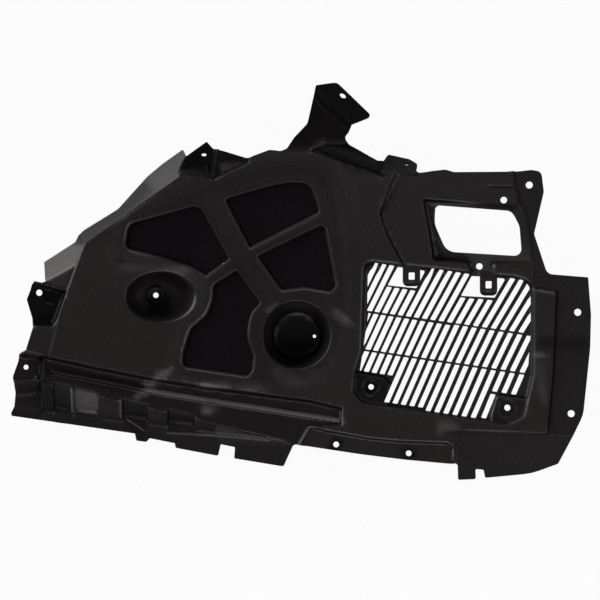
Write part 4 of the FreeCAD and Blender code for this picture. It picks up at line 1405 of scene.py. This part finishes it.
# Painted highlights, glints and reflections, with a few patches of painted shade among them
HIGHLIGHT_PATCHES = (
    PaintedLight("shelf", SHELF, -1.0, 3.0),
    PaintedLight("left_flange", LEFT_FLANGE, -0.4, 4.0),
    PaintedLight("bead_right", BEAD_RIGHT, -0.75, 1.2),
    PaintedLight("shelf_edge", SHELF_EDGE, 0.2),
    PaintedLight("flange_top", FLANGE_TOP, 0.35, 12.0),
    PaintedLight("pocket_rim", POCKET_RIM, -0.8, 1.5),
    PaintedLight("right_shine", RIGHT_SHINE, -0.3, 9.0),
    PaintedLight("bracket_foot", BRACKET_FOOT, -0.1),
    PaintedLight("bay_two_back", BAY_TWO_BACK, -0.95),
    PaintedLight("bay_two_side", BAY_TWO_SIDE, -1.0, 1.5),
    PaintedLight("bay_three_side", BAY_THREE_SIDE, -0.6, 1.5),
    PaintedLight("wall_wedge", WALL_WEDGE, -0.3),
    PaintedLight("sill_streak_wide", SILL_STREAK_WIDE, -0.5, 8.0),
    PaintedLight("sill_streak", SILL_STREAK, -1.0, 5.0),
    PaintedLight("sill_streak_end", ellipse(-180, -124, 12, 2), -1.0, 4.0),
    PaintedLight("bead_streak", BEAD_STREAK, -0.6, 7.0),
    PaintedLight("sill_glint_wide", ellipse(-105, -124, 20, 5), -0.3, 9.0),
    PaintedLight("sill_glint", ellipse(-109, -125.3, 11, 2), -1.0, 2.5),
    PaintedLight("wall_glint_wide", ellipse(-110, -152, 12, 9), -0.25, 10.0),
    PaintedLight("wall_glint", ellipse(-112, -155, 4.5, 3.5), -0.9, 4.0),
    PaintedLight("wall_line", WALL_LINE, -0.8, 1.5),
    PaintedLight("wall_foot", WALL_FOOT, -0.45, 1.5),
    PaintedLight("plateau_glint_wide", PLATEAU_GLINT_WIDE, -0.4, 9.0),
    PaintedLight("plateau_glint", PLATEAU_GLINT, -0.9, 5.0),
    PaintedLight("right_glint", ellipse(287, -88, 8, 3.5), -0.8, 6.0),
    PaintedLight("flap_glint", FLAP_GLINT, -0.5, 9.0),
    PaintedLight("round_cup_glint", ROUND_CUP_GLINT, -0.5, 4.0))


@dataclass
class Grille:
    """Slanted slots in three rows, the bays of the clip tabs and the clip tabs.

    Lengths are in mm and angles in degrees. A row falls by `row_fall`, and its pitch grows
    by `row_growth`. The slots above `border_y` end at the pocket's upper border.
    """

    slot_width: float = 5.8
    slot_round: float = 1.0
    row_growth: float = 0.11
    row_fall: float = 8.0
    border_y: float = -40.0
    tab_width: float = 21.0
    tab_round: float = 6.0
    tab_drop: float = 5.0
    tab_step: float = 3.0
    tab_blend: float = 1.5
    fold_half: float = 20.0
    fold_above: float = 5.0
    fold_below: float = 9.0
    window_half_x: float = 3.6
    window_half_y: float = 4.3

    def slot(self, foot: Corner, length: float, lean: float) -> Outline:
        """Outline of one slot with ends along the row.

        Args:
            foot: Middle of its lower end.
            length: Length from end to end.
            lean: Angle from the X axis.

        Returns:
            The slot's outline.
        """
        fall, tilt = math.radians(self.row_fall), math.radians(lean)
        half = self.slot_width / 2 / math.sin(tilt + fall)
        ex, ey = half * math.cos(fall), -half * math.sin(fall)
        fx, fy = foot
        hx, hy = fx + math.cos(tilt) * length, fy + math.sin(tilt) * length
        r = self.slot_round
        return Outline((
            (fx - ex, fy - ey, r), (fx + ex, fy + ey, r), (hx + ex, hy + ey, r), (hx - ex, hy - ey, r)))

    def row(self, first: Corner, last: Corner, leans: tuple[float, float], lengths: list[float],
            head: bool = False) -> list[Outline]:
        """One row of slots whose pitch grows along it.

        Args:
            first: End of the first slot.
            last: Same end of the last slot.
            leans: Angle of the first and of the last slot.
            lengths: Length of each slot.
            head: Whether both ends given are the upper ones.

        Returns:
            One outline for each slot.
        """
        slots = []
        for k, length in enumerate(lengths):
            share = k / (len(lengths) - 1)
            along = share + self.row_growth * share * (share - 1)
            x = first[0] + (last[0] - first[0]) * along
            y = first[1] + (last[1] - first[1]) * along
            lean = leans[0] + (leans[1] - leans[0]) * share
            if head:
                x -= length * math.cos(math.radians(lean))
                y -= length * math.sin(math.radians(lean))
            slots.append(self.slot((x, y), length, lean))
        return slots

    def openings(self) -> list[Outline]:
        """Every opening of the grille.

        Returns:
            All slots and both bays.
        """
        slots = self.row((82.9, -35.4), (264.8, -61.2), (63.5, 58.5),
                         [61] + [33.8] * 4 + [65] * 5 + [34, 34.5, 35.5, 36, 68, 68, 66, 52, 34])
        slots += self.row((81.1, -81.8), (254.6, -107.6), (65.3, 63.9), [45.5] * 9 + [47] * 9)
        slots += self.row((89.3, -85.4), (266.3, -111.7), (66, 66.5),
                          [25] * 4 + [59] * 5 + [62] * 6 + [26] * 3, head=True)
        for foot, length, lean in (
                ((73.8, -34.1), 61, 63.8), ((64.8, -32.8), 61, 64.1), ((72.2, -80.5), 45.5, 65.4),
                ((63.2, -79.2), 45.5, 65.5), ((266.2, -109.4), 45.5, 63.8), ((69.9, -106.8), 25, 66),
                ((220, -164), 31, 68)):
            slots.append(self.slot(foot, length, lean))
        upper = [slot.loop[:, 1].mean() > self.border_y for slot in slots]
        borders = [GRILLE_EDGE if high else GRILLE_EDGE_LOW for high in upper]
        trimmed = [slot.inside(border) for slot, border in zip(slots, borders)]
        return trimmed + [BAY_CLIP_LEFT, BAY_CLIP_RIGHT]

    def tabs(self) -> list[Sheet]:
        """Both clip tabs that reach over the bays.

        Returns:
            The left and the right tab.
        """
        made = []
        half, far = self.tab_width / 2, self.fold_half
        for name, x, root, tip, level, wx, wy in (
                ("clip_tab_left", 133.4, 22, -5.8, -4, 133.7, 6.5),
                ("clip_tab_right", 226.1, 12, -17, -9, 226.2, -3.9)):
            outline = Outline((
                (x - half, root), (x + half, root), (x + half, tip, self.tab_round),
                (x - half, tip, self.tab_round)))
            left, right = wx - self.window_half_x, wx + self.window_half_x
            low, high = wy - self.window_half_y, wy + self.window_half_y
            window = Outline(((left, low, 1), (right, low, 1), (right, high, 1), (left, high, 1)))
            height = float(CROWN.height((root + tip) / 2, level))
            start, end = tip + self.fold_above, tip - self.fold_below
            falling = Plane(
                (x - far, start, height), (x + far, start, height), (x, tip, height - self.tab_drop))
            area = Outline(((x - far, start), (x + far, start), (x + far, end), (x - far, end)))
            bend = Fold(name + "_tip", area, (falling,), blend=self.tab_blend)
            made.append(Sheet(name, outline, [window], [bend], start=height, grid=self.tab_step,
                              edge_step=self.tab_step))
        return made


@dataclass
class LinerPanel:
    """The whole moulded sheet with its fields, cups, lower wall and folded tabs."""

    grille: Grille = field(default_factory=Grille)

    def holes(self) -> list[Outline]:
        """Every round hole of the sheet.

        Returns:
            One outline for each hole.
        """
        flat = (
            (274.5, 115.5, 8.5), (333, -37, 8.5), (325, -158.5, 8.5), (244, 97.5, 8), (215, 18, 8),
            (-314, -13.5, 7.5), (-330, -103, 6), *((*place, 7) for place in STRIP_SCREWS),
            (*LEFT_BOSS_SCREW, 6.6), (*RIGHT_BOSS_SCREW, 7.4), (*CUP_SCREW, 6.6), (17, -66, 4))
        return [oval_hole(*hole) for hole in flat] + [
            oval_hole(51.5, 224, 8.5, ARM_PLANE.normal),
            oval_hole(128, 141.5, 7, TOWER_PLANE.normal),
            oval_hole(-116, 153.5, 6.6, BRACKET_PLANE.normal)]

    def broad_shapes(self) -> list[Shape]:
        """The plateau with its fields, the levels of the face and the bosses.

        Returns:
            The changes of height, in order.
        """
        up, down = Relief.RAISE, Relief.LOWER
        shapes: list[Shape] = [Region("plateau", PLATEAU, LEVELS.plateau, up, 13.0, 13.0)]
        for name, outline in FIELDS.items():
            shapes.append(Region("field_" + name, outline, LEVELS.textured, down, 1.6, 0.4, 3.0))
            shapes.append(Lip("lip_" + name, outline))
        return shapes + [
            Region("plate", PLATE, LEVELS.plate, down, 1.2, 2.0),
            Region("flange_right", FLANGE_RIGHT, LEVELS.flange_right, down, 1.2, 1.6),
            Region("grille_pocket", GRILLE_POCKET, LEVELS.grille, down, 2.6, 1.4, 3.0),
            Region("sill", SILL, LEVELS.sill, down, 2.4, 2.6),
            Region("strip_right", STRIP_RIGHT, LEVELS.strip_right, down),
            Region("tab_left", TAB_LEFT, LEVELS.tab_left, down, 4.0, 1.0, 3.0),
            Region("low_tab", LOW_TAB, LEVELS.low_tab, down, 4.0, 1.0, 3.0),
            Region("bead", BEAD, LEVELS.bead, up, 1.2, 1.2, 3.0),
            Region("boss_left", BOSS_LEFT, LEVELS.boss, up, 0.6, 1.8, 3.0),
            Region("boss_right", BOSS_RIGHT, LEVELS.boss, up, 0.6, 1.8, 3.0)]

    def folds(self) -> list[Shape]:
        """The parts that fall away from the face, and the ledge.

        Returns:
            The changes of height, in order.
        """
        up, down = Relief.RAISE, Relief.LOWER
        return [
            Fold("left_flange", LEFT_FLANGE, (FLANGE_PLANE,)),
            Region("top_hollow", TOP_HOLLOW, LEVELS.top_hollow, down, 2.4, 0.5, 3.0),
            Region("ledge", LEDGE, LEVELS.ledge, up, 0.6, 2.6, 3.0),
            Fold("ledge_wall", LEDGE, (LEDGE_PLANE,), blend=2.0),
            Fold("window_recess", WINDOW_RECESS, (RECESS_PLANE,), blend=1.5, inner=4.5, outer=0.8,
                 step=3.0),
            Fold("shelf", SHELF, (SHELF_PLANE,)),
            Fold("shelf_face", SHELF, (SHELF_FACE_PLANE,), blend=2.0),
            Crease("shelf_edge", ((-305.5, 1.8), (-268, 21.8))),
            Fold("lower_wall", LOWER_WALL, (WALL_PLANE, STRIP_PLANE)),
            Fold("low_tab_wall", LOW_TAB_WALL, (LOW_WALL_PLANE, STRIP_PLANE)),
            Fold("flap", FLAP, (FLAP_PLANE,)),
            Fold("arm", ARM, (ARM_FALL,), blend=2.0, inner=8.0, outer=4.0),
            Fold("arm_tab", ARM_TAB, (ARM_PLANE,)),
            Fold("tower", TOWER, (TOWER_PLANE,)),
            Fold("bracket", BRACKET, (BRACKET_WALL_PLANE, BRACKET_PLANE)),
            Crease("wall_foot", ((-345, -151), (-308.8, -155.4), (-20.8, -190.2)))]

    def ribs(self) -> list[Shape]:
        """The thin ridges and grooves.

        Returns:
            The changes of height, in order.
        """
        return [
            Rib("arm_fold_outer", ((23.2, 227.4), (60, 190)), 0.9, 1.3),
            Rib("arm_fold_inner", ((18.5, 218), (56, 182.8)), 0.9, 1.3),
            Rib("arm_groove", ((22, 222), (57.5, 187)), -1.4, 2.6),
            Rib("bracket_left_ridge", ((-139.5, 141), (-142.5, 128)), 1.4, 1.4),
            Rib("bracket_middle_ridge", ((-117, 141.5), (-113, 141.2), (-109.4, 125)), 1.2, 1.2),
            Rib("bracket_right_ridge", ((-105.5, 140.5), (-99.8, 129.2)), 1.0, 1.1),
            Rib("tower_ridge", ((121, 146.5), (118.5, 130)), 1.4, 1.8),
            Rib("side_line", ((-283, -14), (-292.4, -55.5), (-300.5, -88)), 0.7, 1.0),
            Rib("tab_left_top", ((-319, -1.5), (-284, -11)), 1.0, 1.2),
            Rib("tab_left_curve", ((-311, -19), (-306, -24.5), (-299, -25)), 1.2, 1.5),
            Rib("low_tab_ridge", ((-317, -114), (-317.5, -120), (-315, -135)), 1.4, 1.4),
            Rib("short_line", ((228.6, 114.1), (257.8, 113.4)), -0.5, 0.8),
            Rib("shelf_foot", ((-145, 124.5), (-217, 74), (-262, 43), (-280, -10)), -0.8, 1.6),
            Rib("plate_groove", ((121, 127), (96, 81), (104, 58), (127, 15)), -1.0, 1.5),
            Rib("wall_line", ((-210.4, -164), (-187.6, -179.4)), 1.0, 1.2),
            Rib("wall_foot_line", ((-161, -182), (-101, -184.8), (-38, -190.4)), 0.5, 1.0),
            Rib("flange_top_line", ((279, -9.3), (306, -13.7)), 1.2, 1.2)]

    def bays(self) -> list[Shape]:
        """The four bays cut back into the lower wall."""
        return [Fold(f"bay_{number}", bay, (BAY_PLANE, STRIP_PLANE), blend=1.2, step=3.0)
                for number, bay in enumerate(BAYS, start=1)]

    def cups(self) -> list[Shape]:
        """The screw cups and the seats of the screws.

        Returns:
            The changes of height, in order.
        """
        return [
            Cup("oval_cup", OVAL_MOUTH, (-173.5, -16.8, 16, 16)),
            Cup("round_cup", ROUND_MOUTH, (-4, -64.2, 30.5, 30.5)),
            Lip("oval_cup_seat", ellipse(*CUP_SCREW, 8.5, 8.5), 1.6, 0, 1.5),
            Lip("boss_left_seat", ellipse(*LEFT_BOSS_SCREW, 9.5, 9.5), 1.2, 0, 1.3),
            Lip("boss_right_seat", ellipse(*RIGHT_BOSS_SCREW, 11, 11), 0.8, 0, 1.3)]

    def build(self, plastic: bpy.types.Material, textured: bpy.types.Material) -> list[bpy.types.Object]:
        """Makes the panel and its clip tabs.

        Args:
            plastic: Finish of the sheet.
            textured: Finish of the four fields.

        Returns:
            The panel, then the tabs.
        """
        reliefs = self.broad_shapes() + self.folds() + self.ribs() + self.bays() + self.cups()
        panel = Sheet("liner_panel", SILHOUETTE, [WINDOW] + self.grille.openings() + self.holes(),
                      reliefs, inlays=list(FIELDS.values()), light_paints=[*SHADE_PATCHES, *HIGHLIGHT_PATCHES])
        return [panel.build([plastic, textured])] + [tab.build([plastic]) for tab in self.grille.tabs()]


@dataclass(frozen=True)
class Lamp:
    """Soft square lamp: its place and aim in metres, its side in metres and its power in watts."""

    name: str
    place: Place
    aim: Place
    size: float
    power: float
    colour: Colour

    def build(self) -> None:
        """Hangs the lamp in its place, facing its aim."""
        data = bpy.data.lights.new(self.name, "AREA")
        data.size = self.size
        data.energy = self.power
        data.color = self.colour
        lamp = bpy.data.objects.new(self.name, data)
        lamp.location = self.place
        lamp.rotation_euler = (Vector(self.aim) - Vector(self.place)).to_track_quat("-Z", "Y").to_euler()
        bpy.context.scene.collection.objects.link(lamp)


LAMPS = (
    Lamp("front", (-0.2, -1.5, 1.8), (0, 0, 0.05), 1.1, 9.9, (1, 0.95, 0.95)),
    Lamp("right", (1.6, -0.3, 1.5), (0, 0, 0.05), 1.1, 5.4, (1, 0.94, 0.97)),
    Lamp("spot_left", (-0.32, -1.2, 2.05), (-0.15, -0.12, 0.05), 0.15, 1.08, (1, 0.9, 0.95)),
    Lamp("spot_middle", (0.3, -1.3, 1.9), (0.0, -0.1, 0.05), 0.15, 1.08, (0.96, 0.94, 1)),
    Lamp("spot_right", (1.5, 0.1, 1.2), (0.2, 0, 0.05), 0.25, 1.26, (1, 0.94, 1)))


@dataclass
class Studio:
    """Pale floor, white surroundings, soft lamps and the camera. Lengths are in metres.

    The camera sees a square `view_width` wide at `view_level` above the floor. The
    surroundings shine at `surround`, and up to `bright` within `bright_spread` degrees
    of `bright_side`.
    """

    floor_half: float = 4.0
    floor_drop: float = 0.0005
    floor_shade: float = 0.85
    floor_roughness: float = 0.9
    floor_glow: float = 0.95
    surround: float = 0.05
    bright: float = 5.0
    bright_side: Place = (-0.87, 0.50, 0.16)
    bright_spread: float = 42.0
    camera_place: Place = (-0.0004, -0.0222, 8.0)
    sensor_width: float = 36.0
    view_width: float = 0.72
    view_level: float = 0.055
    view_depth: float = 50.0

    def floor_finish(self) -> bpy.types.Material:
        """White to the camera, with the object's shadow, and plain pale grey to the light.

        Returns:
            The floor's material.
        """
        material = bpy.data.materials.new("pale_floor")
        material.use_nodes = True
        tree = material.node_tree
        shader = tree.nodes["Principled BSDF"]
        shader.inputs["Base Color"].default_value = (*[self.floor_shade] * 3, 1)
        shader.inputs["Roughness"].default_value = self.floor_roughness
        glow = tree.nodes.new("ShaderNodeEmission")
        path = tree.nodes.new("ShaderNodeLightPath")
        mix = tree.nodes.new("ShaderNodeMixShader")
        share = math_node(tree, "MULTIPLY", path.outputs["Is Camera Ray"], self.floor_glow)
        tree.links.new(share, mix.inputs["Fac"])
        tree.links.new(shader.outputs[0], mix.inputs[1])
        tree.links.new(glow.outputs[0], mix.inputs[2])
        tree.links.new(mix.outputs[0], tree.nodes["Material Output"].inputs["Surface"])
        return material

    def floor(self) -> bpy.types.Object:
        """Plain pale floor under the object.

        Returns:
            The floor.
        """
        mesh = bpy.data.meshes.new("floor")
        corners = [(-1, -1), (1, -1), (1, 1), (-1, 1)]
        points = [(x * self.floor_half, y * self.floor_half, -self.floor_drop) for x, y in corners]
        mesh.from_pydata(points, [], [(0, 1, 2, 3)])
        mesh.materials.append(self.floor_finish())
        piece = bpy.data.objects.new("floor", mesh)
        bpy.context.scene.collection.objects.link(piece)
        return piece

    def world(self) -> None:
        """Surroundings that are white to the camera and light the object from one side."""
        world = bpy.data.worlds.new("studio")
        bpy.context.scene.world = world
        world.use_nodes = True
        nodes, links = world.node_tree.nodes, world.node_tree.links
        ground = nodes["Background"]
        ground.inputs["Color"].default_value = (1, 1, 1, 1)
        coords = nodes.new("ShaderNodeTexCoord")
        toward = nodes.new("ShaderNodeVectorMath")
        toward.operation = "DOT_PRODUCT"
        toward.inputs[1].default_value = Vector(self.bright_side).normalized()
        links.new(coords.outputs["Generated"], toward.inputs[0])
        glow = nodes.new("ShaderNodeMapRange")
        glow.interpolation_type = "SMOOTHSTEP"
        glow.inputs["From Min"].default_value = math.cos(math.radians(self.bright_spread))
        glow.inputs["From Max"].default_value = 1.0
        glow.inputs["To Min"].default_value = self.surround
        glow.inputs["To Max"].default_value = self.bright
        links.new(toward.outputs["Value"], glow.inputs["Value"])
        path = nodes.new("ShaderNodeLightPath")
        strength = nodes.new("ShaderNodeMix")
        strength.inputs["B"].default_value = 1.0
        links.new(path.outputs["Is Camera Ray"], strength.inputs["Factor"])
        links.new(glow.outputs[0], strength.inputs["A"])
        links.new(strength.outputs[0], ground.inputs["Strength"])

    def camera(self) -> None:
        """Camera that looks straight down, as the photograph does."""
        data = bpy.data.cameras.new("camera")
        data.sensor_width = self.sensor_width
        data.lens = self.sensor_width * (self.camera_place[2] - self.view_level) / self.view_width
        data.clip_end = self.view_depth
        camera = bpy.data.objects.new("camera", data)
        camera.location = self.camera_place
        bpy.context.scene.collection.objects.link(camera)
        bpy.context.scene.camera = camera

    def build(self) -> None:
        """Makes the floor, the surroundings, the lamps and the camera."""
        self.floor()
        self.world()
        for lamp in LAMPS:
            lamp.build()
        self.camera()
        bpy.context.scene.view_settings.view_transform = "Standard"


def main() -> None:
    """Builds the panel, dresses it and sets up the studio."""
    logging.basicConfig(level=logging.INFO, format="%(message)s")
    grain, weave = grain_and_painted_light_group(), fine_weave_group()
    plastic = MouldedPlastic("black_plastic", grain).build()
    textured = MouldedPlastic(
        "textured_field", grain, weave, colour=(0.0078, 0.0058, 0.0084), tint=(0.0104, 0.0080, 0.0112),
        roughness=0.75, spread=0.06, specular=0.05, coat=0.0, grain_depth=0.3, weave_depth=0.4).build()
    made = LinerPanel().build(plastic, textured)
    for piece in made:
        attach(piece, "root")
        LOG.info("%s: %d faces", piece.name, len(piece.data.polygons))
    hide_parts("fender_liner")
    Studio().build()


if __name__ == "__main__":
    main()
